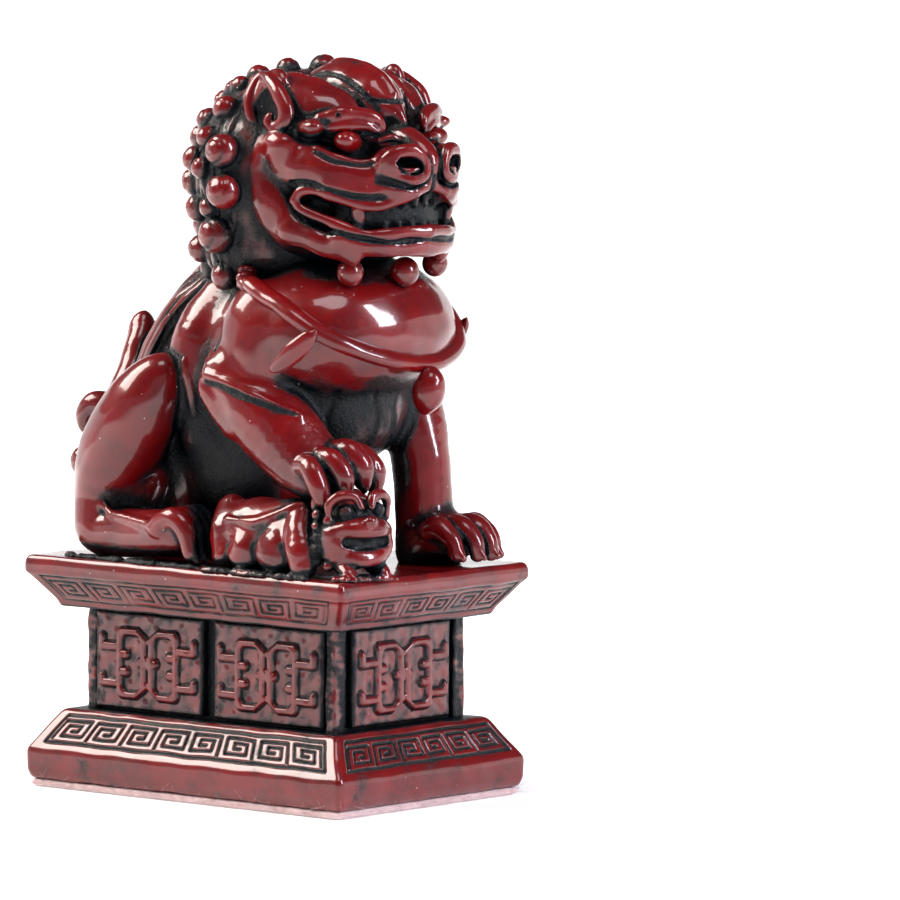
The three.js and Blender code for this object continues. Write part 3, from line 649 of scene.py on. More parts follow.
def sculpt_chest(step):
    """Chest, shoulders and forelegs: the right one rests on the cub, the left one stands on the pedestal."""
    clay = Clay((-33, -47, 46.6), (31, 11, 114), step)
    clay.rope([(0, -8, 111, 13), (0, -8, 102, 15)], blend=2)
    clay.egg((0, -10, 89), (22, 16, 19), blend=3)
    clay.egg((0, -17.4, 95), (25, 20.5, 15.5), blend=2)
    clay.egg((0, -13, 80), (17.5, 16, 14), blend=2.5)
    clay.egg((-19, -11.6, 92), (7.6, 8.6, 13.4), blend=1.6)
    clay.egg((19, -11, 90), (7.6, 9.5, 15), blend=2.5)
    # the right foreleg reaches forward and down to the cub
    clay.rope([(-19.6, -7, 86, 8), (-19.4, -13.4, 78.6, 8.4), (-18.6, -21.4, 71, 7.4),
        (-18.2, -26.4, 67.4, 6)], blend=1.4)
    clay.rope([(-26, -4, 88, 0.7), (-26, -3, 85, 1.2), (-25.2, -3.8, 82.4, 2.4), (-22, -8.4, 77.6, 4.6)],
        blend=1.4)
    clay.egg((-18.8, -26.4, 67), (5.6, 6, 4.6), blend=1.5)
    # the crease where the shoulder and chest lap over the foreleg
    crease_path = [(-26.6, -4.4, 85.2, 0.25), (-27, -8, 84.4, 0.45), (-27, -14.5, 82.4, 0.5),
        (-25.6, -21.5, 80.4, 0.5), (-22.6, -26, 79.8, 0.3)]
    clay.line([(x, y, z + 1, 0.6) for x, y, z, _ in crease_path], blend=1.4, cut=False)
    clay.line(crease_path, stain=0.4)
    clay.line([(-19.6, -3.2, 103, 0.5), (-22.4, -4.6, 97, 0.6), (-24.4, -4.4, 91, 0.6)], stain=0.5)
    # folds of the lower chest
    for x, lean in ((-12, -1.5), (-4, 1.2), (3, -1), (11, 1.6)):
        clay.line([(x - 1.4, -30 + 0.02 * x * x, 83, 0.2), (x + lean, -27.6 + 0.02 * x * x, 78, 0.35),
            (x + 1.8, -24 + 0.02 * x * x, 72, 0.25)], blend=0.8, stain=0.15)
    # painted shade under the bib, under the chest and between the forelegs
    clay.stain([(-17, -28, 83, 3.4), (0, -33, 84, 3.6), (17, -28, 83, 3.4)], amount=0.35)
    clay.stain([(-12, -26, 78, 4), (-2, -26, 76, 8), (6, -20, 68, 11)], amount=0.55)
    clay.stain([(8, -18, 66, 8), (9, -22, 54, 8)], amount=0.5)
    clay.stain([(-17, -22, 109, 3.4), (-9, -31, 108.4, 3.6), (0, -34, 108, 3.6), (9, -31, 108.4, 3.6),
        (17, -22, 109, 3.4)], amount=0.75)
    # the left foreleg stands
    clay.rope([(16, -14, 88, 8.6), (15.6, -21.6, 78, 6.9), (15.4, -25, 68, 6), (15.4, -26, 58, 5.9),
        (15.6, -26.8, 50, 6.6)], blend=2)
    clay.egg((16, -30, 52.4), (7.6, 7.6, 5.6), blend=1.6)
    for x, y, tip in ((9.8, -36.4, 1.8), (13.8, -38.6, 2), (17.9, -38.8, 2), (21.8, -36.4, 1.9)):
        clay.rope([(x, -32, 54.4, 2.4), (x, y + 2, 55, 2.5), (x, y - 1.6, 52.6, tip),
            (x, y - 2.6, 49.8, 1.6)], blend=0.5)
        clay.rope([(x, y - 2.4, 51.4, 0.9), (x, y - 4.4, 49.2, 0.7)], blend=0.3)
    # the right paw: a thumb and three toes curled over the cub, each with a claw
    toes = [[(-22.6, -24.6, 68.6, 2.3), (-24.4, -28.8, 69.2, 2.3), (-25, -31.4, 66, 2.3),
        (-24.6, -32.4, 63, 1.8)], [(-20, -27, 70.2, 2.2), (-21.2, -31.4, 70.8, 2.3), (-21, -34.4, 67.8, 2.3),
        (-20.6, -34.8, 65, 1.8)], [(-17, -27, 71, 2.2), (-17.6, -32.6, 72.4, 2.4), (-17, -36, 69.4, 2.4),
        (-16.6, -36.2, 66.2, 1.8)], [(-13.6, -27, 70.2, 2.2), (-13.8, -32.8, 71.4, 2.3),
        (-13, -36.2, 68.4, 2.3), (-12.8, -36.2, 65.2, 1.8)]]
    for toe in toes:
        clay.rope(toe, blend=0.4)
        x, y, z, _ = toe[-1]
        clay.rope([(x, y - 0.9, z + 0.8, 0.9), (x, y - 0.8, z - 1, 0.8), (x, y - 0.2, z - 2.2, 0.5)],
            blend=0.25)
    clay.stain([(-22.6, -30, 66, 1.9), (-19, -32.6, 67, 2), (-15, -33.6, 67, 2), (-12, -32, 66, 1.9)],
        amount=0.5)
    clay.roughen(0.09, 7.0, seed=11)
    clay.flat_below(FIGURE_FOOT)
    return clay


def sculpt_haunches(step):
    """Back, belly, haunches, hind feet, the flame of the tail and the hair that sweeps down the spine."""
    clay = Clay((-33, -16, 46.6), (33, 47, 114), step)
    clay.rope([(0, 0, 109, 8.5), (0, 5, 103.6, 9.6), (0, 11.4, 98, 11), (0, 16, 91, 12.5), (0, 20, 80, 14),
        (0, 22, 68, 15), (0, 21, 54, 15)], blend=3)
    clay.egg((0, -2, 88), (19.4, 13, 21), blend=2)
    clay.egg((0, 3, 68), (16, 18, 18), blend=3)
    clay.both(clay.rope, [(-10, 6, 100, 5), (-12.6, 8, 92, 7), (-13, 9, 84, 7), (-12, 8, 74, 6)], blend=3)
    # painted shade: the belly's hollow in front of the haunches, and the hollow in front of each hind foot
    clay.both(clay.stain, [(-18, 3, 80, 3), (-16, 1, 70, 9), (-17, 0, 60, 11)], amount=1.1)
    clay.both(clay.stain, [(-24, -8, 57, 3), (-25, -10, 51, 3.4)], amount=0.5)
    # haunches, leaning forward
    clay.both(clay.egg, (-20.6, 21.6, 73), radii=(8.6, 8.4, 19.2), turn=(35, 0, 0), blend=1)
    clay.both(clay.egg, (-14, 26.6, 62), radii=(10, 10, 12), turn=(24, 0, 0), blend=1.6)
    clay.both(clay.rope, [(-20, 28, 64, 6), (-20.8, 28.4, 54, 6), (-21.8, 24, 52.6, 5.2),
        (-23.4, 14, 53, 4.8), (-24.4, 8, 53.6, 4.4), (-25, 5, 53.8, 4)], blend=1.2)
    for k in range(4):
        x = -28.2 + 2.5 * k
        clay.both(clay.rope, [(x, 7, 56, 2), (x, 3, 57, 2.3), (x, 0, 54.4, 2.1), (x, -1.2, 50.4, 1.7)],
            blend=0.35)
        clay.both(clay.rope, [(x, -1.2, 51.6, 1), (x, -3, 48.8, 0.6)], blend=0.3)
        clay.both(clay.stain, [(x + 1.25, 4, 57.4, 0.6), (x + 1.25, -0.8, 54.6, 0.8),
            (x + 1.25, -1.6, 50, 0.9)], amount=0.6)
    clay.both(clay.line, [(-26.5, 24, 58.2, 0.6), (-28, 16, 56.6, 1), (-28.6, 9, 55.2, 1.1),
        (-28.8, 6.4, 54, 1)], blend=1, cut=False)
    # painted shade in the hollow in front of each hind foot's toes
    clay.both(clay.stain, [(-27, -4, 58, 3), (-27, -5, 50, 4)], amount=0.8)
    # flash and crumbs of resin along the foot
    crumbs = np.random.default_rng(17)
    for _ in range(150):
        y = crumbs.uniform(-4, 34)
        clay.both(clay.egg, (-27 + 0.02 * max(y - 14, 0)**1.5 - crumbs.uniform(0, 1.6), y, 47.2),
            radii=crumbs.uniform(0.5, 0.95, 3), blend=0.6)
    clay.both(clay.stain, [(-28.4, -3, 47.4, 1.9), (-28.4, 16, 47.4, 1.9), (-26, 31, 47.4, 2)], amount=0.7)
    # folds of the flank behind the shoulder, and the edge of the belly in front of the thigh
    clay.both(clay.rope, [(-18, -1, 103, 0.6), (-19.6, 2, 96, 0.8), (-20.4, 2.6, 89, 0.8),
        (-20, 2.4, 82, 0.7)], blend=0.9, cut=True)
    clay.both(clay.line, [(-19.8, 8, 88, 0.4), (-20, 6.6, 82, 0.7), (-19.4, 6, 77, 0.5)], blend=1.2,
        cut=False)
    # hair down the spine, then the tail, a flame of thick locks
    hair = np.random.default_rng(8)
    for k in range(11):
        x = -12 + 2.4 * k
        drift = hair.uniform(-0.6, 0.6, 4)
        lock = [(0.5 * x, 8 - 0.02 * x * x, 110, 1), (0.8 * x + drift[0], 14.6 - 0.04 * x * x, 104, 1.4),
            (x + drift[1], 23.4 - 0.055 * x * x, 98.4, 1.6), (1.05 * x + drift[2], 30 - 0.06 * x * x, 90,
            1.6), (x + drift[3], 33.6 - 0.05 * x * x, 80, 1.4), (0.8 * x, 34.6 - 0.05 * x * x, 70, 1)]
        clay.rope(lock, blend=0.5)
    for k in range(13):
        x = -13.8 + 2.3 * k
        drift = hair.uniform(-0.7, 0.7, 4)
        clay.line([(0.5 * x, 9, 109.4, 0.3), (0.8 * x + drift[0], 16.6 - 0.04 * x * x, 104, 0.5),
            (x + drift[1], 25 - 0.055 * x * x, 98, 0.6), (1.05 * x + drift[2], 31 - 0.06 * x * x, 90, 0.6),
            (x + drift[3], 34.6 - 0.05 * x * x, 80, 0.55), (0.8 * x, 35 - 0.05 * x * x, 71, 0.4)],
            stain=0.42)
    for x, top, fat in ((0, 93, 3.7), (-3.4, 90, 3.1), (3.4, 90, 3.1), (-6.4, 85.6, 2.8), (6.4, 85.6, 2.8)):
        clay.rope([(x * 0.5, 30, 62, 4), (x, 34, 70, fat + 1.4), (x, 35.6 - 0.12 * abs(x), 78, fat + 1.2),
            (x * 0.9, 35.9 - 0.16 * abs(x), 0.5 * (78 + top), fat + 0.4), (x * 0.7, 36.2 - 0.2 * abs(x),
            top - 1, fat * 0.8), (x * 0.5, 35.8 - 0.2 * abs(x), top + 2, 0.8)], blend=1.2)
    for x, shift in ((-1.6, 0), (1.6, 1), (0, 2)):
        clay.line([(x, 38.4, 92 - shift, 0.3), (1.3 * x, 39, 84, 0.4), (x, 38.4, 76, 0.4)], stain=0.35)
    clay.both(clay.rope, [(-9, 31, 72, 3.6), (-11.6, 34.4, 75.6, 3.4), (-13, 37, 77, 2.9),
        (-13.8, 39, 75.4, 2.4), (-13.8, 39.4, 73, 1.9), (-13, 38.6, 71.4, 1.4)], blend=0.8)
    clay.both(clay.egg, (-12.2, 40.6, 65), radii=(3.2, 3.4, 3.4), blend=0.5)
    clay.both(clay.egg, (-11, 37, 64), radii=(3, 4, 2.6), blend=0.5)
    clay.both(clay.egg, (-5, 37, 61), radii=(3.2, 3.4, 3), blend=0.5)
    clay.roughen(0.09, 7.0, seed=12)
    clay.flat_below(FIGURE_FOOT)
    return clay


# ------------------------------------------------------------------ the cub and the ground beneath it

def sculpt_cub(step):
    """The cub lies under the right paw: a plump body, legs tucked in, and a broad face looking forward."""
    clay = Clay((-32, -47, 46.6), (-4, 2, 70), step)
    clay.egg((-20, -14, 54.2), (7.6, 13, 7.6), blend=1.6)
    clay.egg((-20.6, -22, 55), (6.8, 9, 7.2), blend=1.4)
    clay.rope([(-20.6, -5.6, 59, 3), (-23.4, -6.8, 55.4, 3.4), (-24.8, -8, 50.4, 3.2)], blend=1)
    clay.egg((-25.4, -14, 51.4), (3.6, 4.2, 4.4), blend=0.7)
    clay.egg((-26, -22, 52), (3.8, 4.8, 4.8), blend=0.7)
    clay.rope([(-22.6, -25.6, 58.6, 3.4), (-26, -28, 54, 3.4), (-27, -29.8, 49.6, 2.8)], blend=0.8)
    clay.line([(-24.8, -9.6, 56.8, 0.5), (-26.4, -16, 57.4, 0.8), (-25.8, -22, 59.4, 0.9),
        (-23.6, -26.4, 61, 0.6)], blend=1, cut=False)
    # painted shade in the hollow between the cub's rump and the lion's hind toes
    clay.stain([(-20, -2, 56, 3.4), (-21, -1, 50, 3.6)], amount=0.7)
    clay.stain([(-22, -29.6, 61.4, 2), (-25, -32, 57, 2), (-26, -33.4, 51, 2.2)], amount=0.55)

    def face(left, ahead, up, *more):
        """A point of the cub's head, measured from its middle to its left, ahead of it and up."""
        return (-18.9 + 0.945 * left - 0.328 * ahead, -34.6 - 0.328 * left - 0.945 * ahead, 56 + up, *more)

    clay.egg(face(0, 0, 0), (7.6, 6.6, 7.6), turn=(0, 0, -19), blend=0.6)
    clay.egg(face(-3.6, 2.4, -1.4), (4.4, 4.6, 4.8), blend=0.8)
    clay.egg(face(3.6, 2.4, -1.4), (4.4, 4.6, 4.8), blend=0.8)
    clay.rope([face(-5.6, 3.6, 0.4, 1.9), face(-2.2, 6.4, 1.4, 2.3), face(2.2, 6.4, 1.4, 2.3),
        face(5.6, 3.6, 0.4, 1.9)], blend=0.5)
    clay.rope([face(-5, 3.6, -4, 1.8), face(-2, 6, -4.4, 2), face(2, 6, -4.4, 2), face(5, 3.6, -4, 1.8)],
        blend=0.5)
    clay.rope([face(-4.4, 6.6, -1.3, 1), face(0, 8.6, -1.4, 1.5), face(4.4, 6.6, -1.3, 1)], blend=0.3,
        cut=True)
    clay.stain([face(-4, 5.6, -1.3, 1.2), face(0, 7, -1.4, 1.8), face(4, 5.6, -1.3, 1.2)], amount=0.9)
    clay.egg(face(0, 8.2, 3), (1.6, 1.3, 1.2), blend=0.4)
    for hand in (-1, 1):
        clay.stain([face(3.6 * hand, 5.4, 5, 2.4)], amount=0.75)
        clay.egg(face(3.6 * hand, 4.6, 4.8), (1.6, 1.6, 1.6), blend=0.3)
        clay.rope([face(6.6 * hand, 3, 3.4, 0.7), face(6.6 * hand, 3.4, 6.4, 0.9),
            face(4.6 * hand, 4.6, 8, 1), face(2 * hand, 5.6, 7.6, 0.9), face(1.2 * hand, 6.4, 5.8, 0.7)],
            blend=0.35)
        clay.egg(face(6.4 * hand, -1.4, 6.2), (1.6, 1.2, 2.2), blend=0.4)
        clay.rope([face(3.6 * hand, 3, -6, 2), face(4 * hand, 6.6, -7.6, 1.7),
            face(4 * hand, 7.6, -8.6, 1.3)], blend=0.4)
    for row in range(5):
        for column in range(2):
            clay.egg(face(-7.6 + 1.1 * column, 0.4 + 2.3 * column, 4 - 2.3 * row - column),
                (1.25, 1.25, 1.25), blend=0.25)
    clay.stain([face(-7.4, 1.6, 5, 2), face(-7.4, 1.6, -6, 2)], amount=0.42)
    clay.stain([face(-6, 5, -8.4, 2.2), face(0, 7, -8.4, 2.4), face(6, 5, -8.4, 2.2)], amount=0.7)
    crumbs = np.random.default_rng(23)
    for _ in range(110):
        clay.egg((-28 - crumbs.uniform(0, 1.4), crumbs.uniform(-32, -5), 47.2), crumbs.uniform(0.5, 1, 3),
            blend=0.6)
    for _ in range(40):
        clay.egg(face(crumbs.uniform(-7, 6), crumbs.uniform(6, 8.6), -8.6), crumbs.uniform(0.5, 1.1, 3),
            blend=0.4)
    clay.stain([(-28.8, -6, 47.4, 1.8), (-28.8, -32, 47.4, 1.8)], amount=0.7)
    clay.roughen(0.14, 5.0, seed=21)
    clay.flat_below(FIGURE_FOOT)
    return clay


# ------------------------------------------------------------------ the pedestal

def perimeter(spacing, sides, arc=5):
    """Columns round a rectangle with rounded corners, as rows of corner weights and outward normals.

    Each column is (a, b, nx, ny, side, along): its point is a and b times the half sizes less the corner's
    radius, plus the radius along the normal; along runs from 0 to 1 on the straight part of a side and holds
    its end value in a corner.
    """
    columns = []
    for side, (start, end, normal) in enumerate([((1, -1), (1, 1), 0), ((1, 1), (-1, 1), 90),
            ((-1, 1), (-1, -1), 180), ((-1, -1), (1, -1), 270)]):
        along = np.linspace(0, 1, max(2, int(sides[side % 2] / spacing)))
        angle = np.full(len(along), math.radians(normal))
        angle = np.concatenate([angle, math.radians(normal) + np.linspace(0, math.pi / 2, arc + 2)[1:-1]])
        along = np.concatenate([along, np.ones(arc)])
        a = start[0] + (end[0] - start[0]) * along
        b = start[1] + (end[1] - start[1]) * along
        columns.append(np.column_stack([a, b, np.cos(angle), np.sin(angle), np.full(len(a), side), along]))
    return np.vstack(columns)


def resample(profile, spacing):
    """Points along a profile at about the given spacing, and eight times wider on its hidden inner part,
    keeping its corners, with the distance along it."""
    p = np.array(profile, float)
    rows = [p[:1]]
    for a, b in zip(p[:-1], p[1:]):
        inner = min(a[0], b[0]) < 0.81 * p[:, 0].max()
        count = max(1, int(np.linalg.norm(b - a) / (spacing * (8 if inner else 1))))
        rows.append(a + (b - a) * np.linspace(0, 1, count + 1)[1:, None])
    rows = np.vstack(rows)
    return rows, np.concatenate([[0], np.cumsum(np.linalg.norm(np.diff(rows, axis=0), axis=1))])


def round_off(profile, radius, steps=4):
    """The profile with each inner corner replaced by a short curve through the two points radius away from
    it."""
    p = np.array(profile, float)
    rows = [p[:1]]
    for a, b, c in zip(p[:-2], p[1:-1], p[2:]):
        before = b + (a - b) * min(0.45, radius / np.linalg.norm(a - b))
        after = b + (c - b) * min(0.45, radius / np.linalg.norm(c - b))
        t = np.linspace(0, 1, steps)[:, None]
        rows.append((1 - t)**2 * before + 2 * t * (1 - t) * b + t**2 * after)
    return np.vstack(rows + [p[-1:]])


def moulding(profile, stretch, corner, spacing, centre=(0, 0), carve=None):
    """A closed block whose side follows a profile of (half width, height) carried round a rectangle that is
    stretch longer each way in Y; its two ends are closed by flat fans. carve gives the depth cut at
    (side, along, distance)."""
    rows, distance = resample(profile, spacing)
    half = rows[:, 0].max()
    columns = perimeter(1.25 * spacing, (2 * (half + stretch), 2 * half))
    a, b, nx, ny, side, along = columns.T
    h, z = rows[:, :1], rows[:, 1:]
    x = a * (h - corner) + nx * corner
    y = b * (h + stretch - corner) + ny * corner
    z = z + 0 * x
    depth = np.zeros_like(x)
    if carve is not None:
        slope = np.gradient(rows, axis=0)
        slope /= np.linalg.norm(slope, axis=1)[:, None] + 1e-9
        depth = carve(side[None, :], along[None, :], distance[:, None])
        x -= nx * slope[:, 1:] * depth
        y -= ny * slope[:, 1:] * depth
        z += slope[:, :1] * depth
    vertices = np.stack([x + centre[0], y + centre[1], z], 2).reshape(-1, 3)
    ends = np.array([[centre[0], centre[1], z[0].mean()], [centre[0], centre[1], z[-1].mean()]])
    quads = grid_faces(*x.shape, wrap_columns=True)
    return np.vstack([vertices, ends]), quads, end_fans(*x.shape), np.append(depth.ravel(), [0, 0])


# The square spiral of one key, as shares of its pitch and of the band's height.
KEY = [(0.0, -0.12), (0.0, 1.0), (0.84, 1.0), (0.84, 0.08), (0.2, 0.08), (0.2, 0.72), (0.6, 0.72),
    (0.6, 0.38), (0.4, 0.38)]


def key_fret(along, across, cells, length, width):
    """How deep a key fret is cut, 0 to 1, at a point of its band: along is 0 to 1, across is in millimetres.

    Every cell holds one square spiral, mirrored in the second half, and a line frames the band.
    """
    inset = 1.25
    x = along * cells
    number = np.floor(np.clip(x, 0, cells - 1e-6))
    x = np.where(number < cells / 2, x - number, 1 - (x - number))
    x = (x - 0.1) * length / cells
    y = across - inset
    pitch, height = length / cells * 0.95, width - 2 * inset
    nearest = stroke_distance(x, y, [(a * pitch, b * height) for a, b in KEY], 0)
    edge = np.minimum(np.minimum(across, width - across), np.minimum(along, 1 - along) * length)
    nearest = np.where(edge < 0.5, FAR, nearest)
    nearest = np.minimum(nearest, np.abs(edge))
    return np.clip(1.35 - nearest / 0.3, 0, 1)**1.5


def wobble(x, y, z, wavelength, seed):
    """A smooth random field between about -1 and 1: a sum of sines of random directions."""
    draw = np.random.default_rng(seed)
    total = 0.0
    for _ in range(8):
        way = draw.normal(size=3)
        way *= 2 * np.pi / (wavelength * draw.uniform(0.6, 1.6) * np.linalg.norm(way))
        total = total + np.sin(way[0] * x + way[1] * y + way[2] * z + draw.uniform(0, FULL_TURN))
    return total / 2.8


def banded(first, last, half, depth_mm, faint=0.0):
    """A carve function for a moulding: a key fret on the band of profile between two distances along it."""
    width = last - first

    def carve(side, along, distance):
        """The depth cut, in millimetres: eight keys on a long side and six on a short one, worn away in
        patches."""
        long_side = side % 2 == 0
        across = (distance - first) + 0 * along
        deep = np.where(long_side, key_fret((along * 1.06 - 0.03), across, 8, 2 * half + 22, width),
            key_fret((along * 1.06 - 0.03), across, 6, 2 * half - 2, width))
        deep = np.where((across < -0.4) | (across > width + 0.4), 0, deep)
        worn = 1 - faint * np.clip(wobble(along * 30, side * 17.0, distance, 9, 4) + 0.3, 0, 1)
        return deep * depth_mm * worn
    return carve


def band_ends(profile, low, high):
    """The distances along a moulding's profile at which its outer side passes two heights."""
    rows, distance = resample(profile, 0.2)
    hidden = 9 * (rows[:, 0] < 20)
    return [distance[np.argmin(np.abs(rows[:, 1] - height) + hidden)] for height in (low, high)]


def build_plinth(material, depth):
    """The plinth: an upright foot and a slope above it, cut with a key fret, carried round the rectangle."""
    profile = round_off([(20, 1.5), (28.9, 1.5), (29.6, 3.4), (29.7, 7.4), (28.9, 8.7), (24.7, 15.2),
        (23.9, 15.8), (10, 15.9)], 0.7)
    fret = banded(*band_ends(profile, 9.2, 14.7), 26.6, depth)
    vertices, quads, triangles, cut = moulding(profile, LONGER, 1.3, 0.24, carve=fret)
    vertices = lumpy(vertices, 0.07, 9)
    wash = 0.9 * np.clip(cut / 0.28, 0, 1) + 0.8 * np.clip((vertices[:, 2] - 14.6) / 1.2, 0, 1) \
        * (np.abs(vertices[:, 0]) < 23.6) * (np.abs(vertices[:, 1]) < 35.6) + pedestal_grime(vertices)
    make_piece("plinth", vertices, quads, wash, material, ["base_plinth"], triangles)


def build_cornice(material, depth):
    """The cornice: a slope that spreads upwards, cut with a shallow worn key fret, under an upright edge."""
    profile = round_off([(10, 36.6), (24.8, 36.6), (25.4, 38), (29.2, 43), (30.1, 43.9), (30.1, 46),
        (29.5, 47.2), (14, 47.2)], 0.6)
    fret = banded(*band_ends(profile, 38.2, 43.2), 27, depth * 0.55, faint=0.5)
    vertices, quads, triangles, cut = moulding(profile, LONGER, 1.1, 0.24, carve=fret)
    vertices = lumpy(vertices, 0.07, 12)
    # wash in the fret; the underside, below 37 mm, is painted shade under the overhang
    wash = 0.6 * np.clip(cut / 0.2, 0, 1) + 0.6 * (vertices[:, 2] < 37) + pedestal_grime(vertices)
    make_piece("cornice_moulding", vertices, quads, wash, material, ["cornice"], triangles)


def lumpy(vertices, amount, wavelength):
    """The slight waviness of a hand-finished master, added along all three axes."""
    x, y, z = vertices.T
    shift = [wobble(x, y, z, wavelength, seed) for seed in (31, 32, 33)]
    return vertices + amount * np.stack(shift, 1)


def pedestal_grime(vertices):
    """A thin uneven wash over the whole pedestal."""
    x, y, z = vertices.T
    return 0.10 * wobble(x, y, z, 7, 41) + 0.05 * wobble(x, y, z, 1.6, 42)


def rounded_box_distance(x, y, centre, half, radius):
    """Signed distance in a plane to a rectangle with rounded corners."""
    qx, qy = np.abs(x - centre[0]) - half[0] + radius, np.abs(y - centre[1]) - half[1] + radius
    return np.hypot(np.maximum(qx, 0), np.maximum(qy, 0)) + np.minimum(np.maximum(qx, qy), 0) - radius


def stroke_distance(x, y, points, radius):
    """Signed distance in a plane to a round-ended stroke through the points."""
    best = 99.0
    for (ax, ay), (bx, by) in zip(points[:-1], points[1:]):
        dx, dy = bx - ax, by - ay
        t = np.clip(((x - ax) * dx + (y - ay) * dy) / (dx * dx + dy * dy), 0, 1)
        best = np.minimum(best, np.hypot(x - ax - t * dx, y - ay - t * dy))
    return best - radius


def panel_ornament(x, y):
    """Signed distance to the ornament of a panel: two tall loops joined by a bar, notched where they meet at
    the top and the foot, with knobs that reach into the loops and a bracket that turns up on either side."""
    x = np.abs(x)
    shape = rounded_box_distance(x, y, (4.4, -0.4), (4.5, 7.1), 1.3)
    shape = np.maximum(shape, (y - 4.7 - x / 1.5) / 1.2)
    shape = np.maximum(shape, (-5.3 - 0.67 * x - y) / 1.2)
    shape = np.maximum(shape, -rounded_box_distance(x, y, (4.7, -0.4), (2.7, 5.8), 1.6))
    shape = np.minimum(shape, stroke_distance(x, y, [(0, -0.15), (2.1, -0.15)], 0.9))
    for height in (1.4, -2.2):
        shape = np.minimum(shape, stroke_distance(x, y, [(8, height), (6.2, height)], 0.85))
    shape = np.minimum(shape, stroke_distance(x, y, [(8.6, 2.85), (13.3, 2.85), (13.3, 4.6)], 0.8))
    shape = np.minimum(shape, stroke_distance(x, y, [(8.6, -4.6), (13.3, -4.6), (13.3, -3.4)], 0.8))
    shape = np.maximum(shape, -stroke_distance(x, y, [(0, 1.4), (0, 3.4)], 0.28))
    return np.maximum(shape, -stroke_distance(x, y, [(0, -1.7), (0, -3.9)], 0.28))


PANEL_MIDDLE = 26.25  # height of a panel's middle


def build_panel(node, material, relief, middle, outward, width, height=19.7, thick=1.9):
    """One panel: a height field over its face with the ornament raised, wrapped over its edges to a flat
    back."""
    out = np.array([outward[0], outward[1], 0.0])
    across = np.array([-out[1], out[0], 0.0])
    u = np.linspace(-width / 2, width / 2, int(width / 0.18))
    v = np.linspace(-height / 2, height / 2, int(height / 0.18))
    v, u = np.meshgrid(v, u, indexing="ij")
    edge = np.minimum(width / 2 - np.abs(u), height / 2 - np.abs(v))
    shape = panel_ornament(u * 31 / width, v)
    raised = np.clip(0.5 - shape / 0.75, 0, 1)
    raised = raised * raised * (3 - 2 * raised)
    lift = relief * raised + 0.05 * wobble(u, v, middle[0] + middle[1] + 0 * u, 3.2, 51)
    lift = lift - 0.5 * np.clip(1 - edge / 0.5, 0, 1)**2
    face = np.array(middle, float) + u[..., None] * across + v[..., None] * (0, 0, 1) + lift[..., None] * out
    rim = face - (thick + lift)[..., None] * out
    rows, columns = u.shape
    inner = np.arange(rows * columns).reshape(rows, columns)
    loop = np.concatenate([inner[0, :-1], inner[:-1, -1], inner[-1, :0:-1], inner[:0:-1, 0]])
    vertices = np.vstack([face.reshape(-1, 3), rim.reshape(-1, 3)[loop]])
    quads = grid_faces(rows, columns)
    behind = rows * columns + np.arange(len(loop))
    sides = np.column_stack([loop, behind, np.roll(behind, -1), np.roll(loop, -1)])
    quads = np.vstack([quads, sides])
    vertices = np.vstack([vertices, [np.array(middle, float) - thick * out]])
    hub = len(vertices) - 1
    triangles = np.column_stack([np.full(len(loop), hub), np.roll(behind, -1), behind])
    wash = 0.1 - 0.16 * raised + 0.5 * np.clip(1 - np.abs(shape - 0.2) / 0.34, 0, 1) \
        + 0.4 * np.clip(1 - edge / 1.1, 0, 1) + 0.12 * wobble(u, v, 3 + 0 * u, 4.2, 52)
    wash = np.concatenate([wash.ravel(), np.full(len(loop) + 1, 0.95)])
    make_piece(node + "_carved", vertices, quads, wash, material, [node], triangles)


def build_waist(material):
    """The core of the waist and the post at each of its corners."""
    core = round_off([(12, 15.6), (19.4, 15.6), (19.4, 36.8), (12, 36.8)], 0.3)
    vertices, quads, triangles, _ = moulding(core, LONGER, 0.6, 0.6)
    # near-black all over: wash, and painted shade in the deep gaps between the panels and the posts
    make_piece("waist_core", vertices, quads, np.full(len(vertices), 0.97), material,
        ["waist_block"], triangles)
    for name, sx, sy in (("right_front", -1, -1), ("right_rear", -1, 1), ("left_front", 1, -1),
            ("left_rear", 1, 1)):
        post = round_off([(0.9, 15.6), (1.75, 15.6), (1.75, 36.9), (0.9, 36.9)], 0.3)
        vertices, quads, triangles, _ = moulding(post, -0.45, 0.55, 0.22, centre=(sx * 18.9, sy * 31.4))
        vertices = lumpy(vertices, 0.12, 5)
        edge = np.hypot(vertices[:, 0] - sx * 20.6, vertices[:, 1] - sy * 32.7)
        top, foot = (vertices[:, 2] - 34.4) / 2, (17.4 - vertices[:, 2]) / 1.4
        wash = 0.05 + 0.16 * edge + 0.35 * np.clip(top, 0, 1) + 0.35 * np.clip(foot, 0, 1) \
            + 0.25 * wobble(*vertices.T, 2.4, 53)
        make_piece("post_" + name, vertices, quads, wash, material, [], triangles)


def build_felt(material):
    """The felt glued under the plinth: a soft-edged profile carried round a rectangle, its rim slightly
    uneven."""
    profile = round_off([(14, 0.0), (28.5, 0.0), (29.0, 0.6), (28.6, 1.35), (14, 1.6)], 0.35)
    vertices, quads, triangles, _ = moulding(profile, LONGER, 1.4, 0.4)
    x, y, z = vertices.T
    vertices = vertices + np.stack([0.16 * wobble(x, y, z, 1.1, 61), 0.16 * wobble(x, y, z, 1.1, 62), 0 * z],
        1)
    return make_piece("felt", vertices, quads, np.zeros(len(vertices)), material, ["felt_pad"],
        triangles)


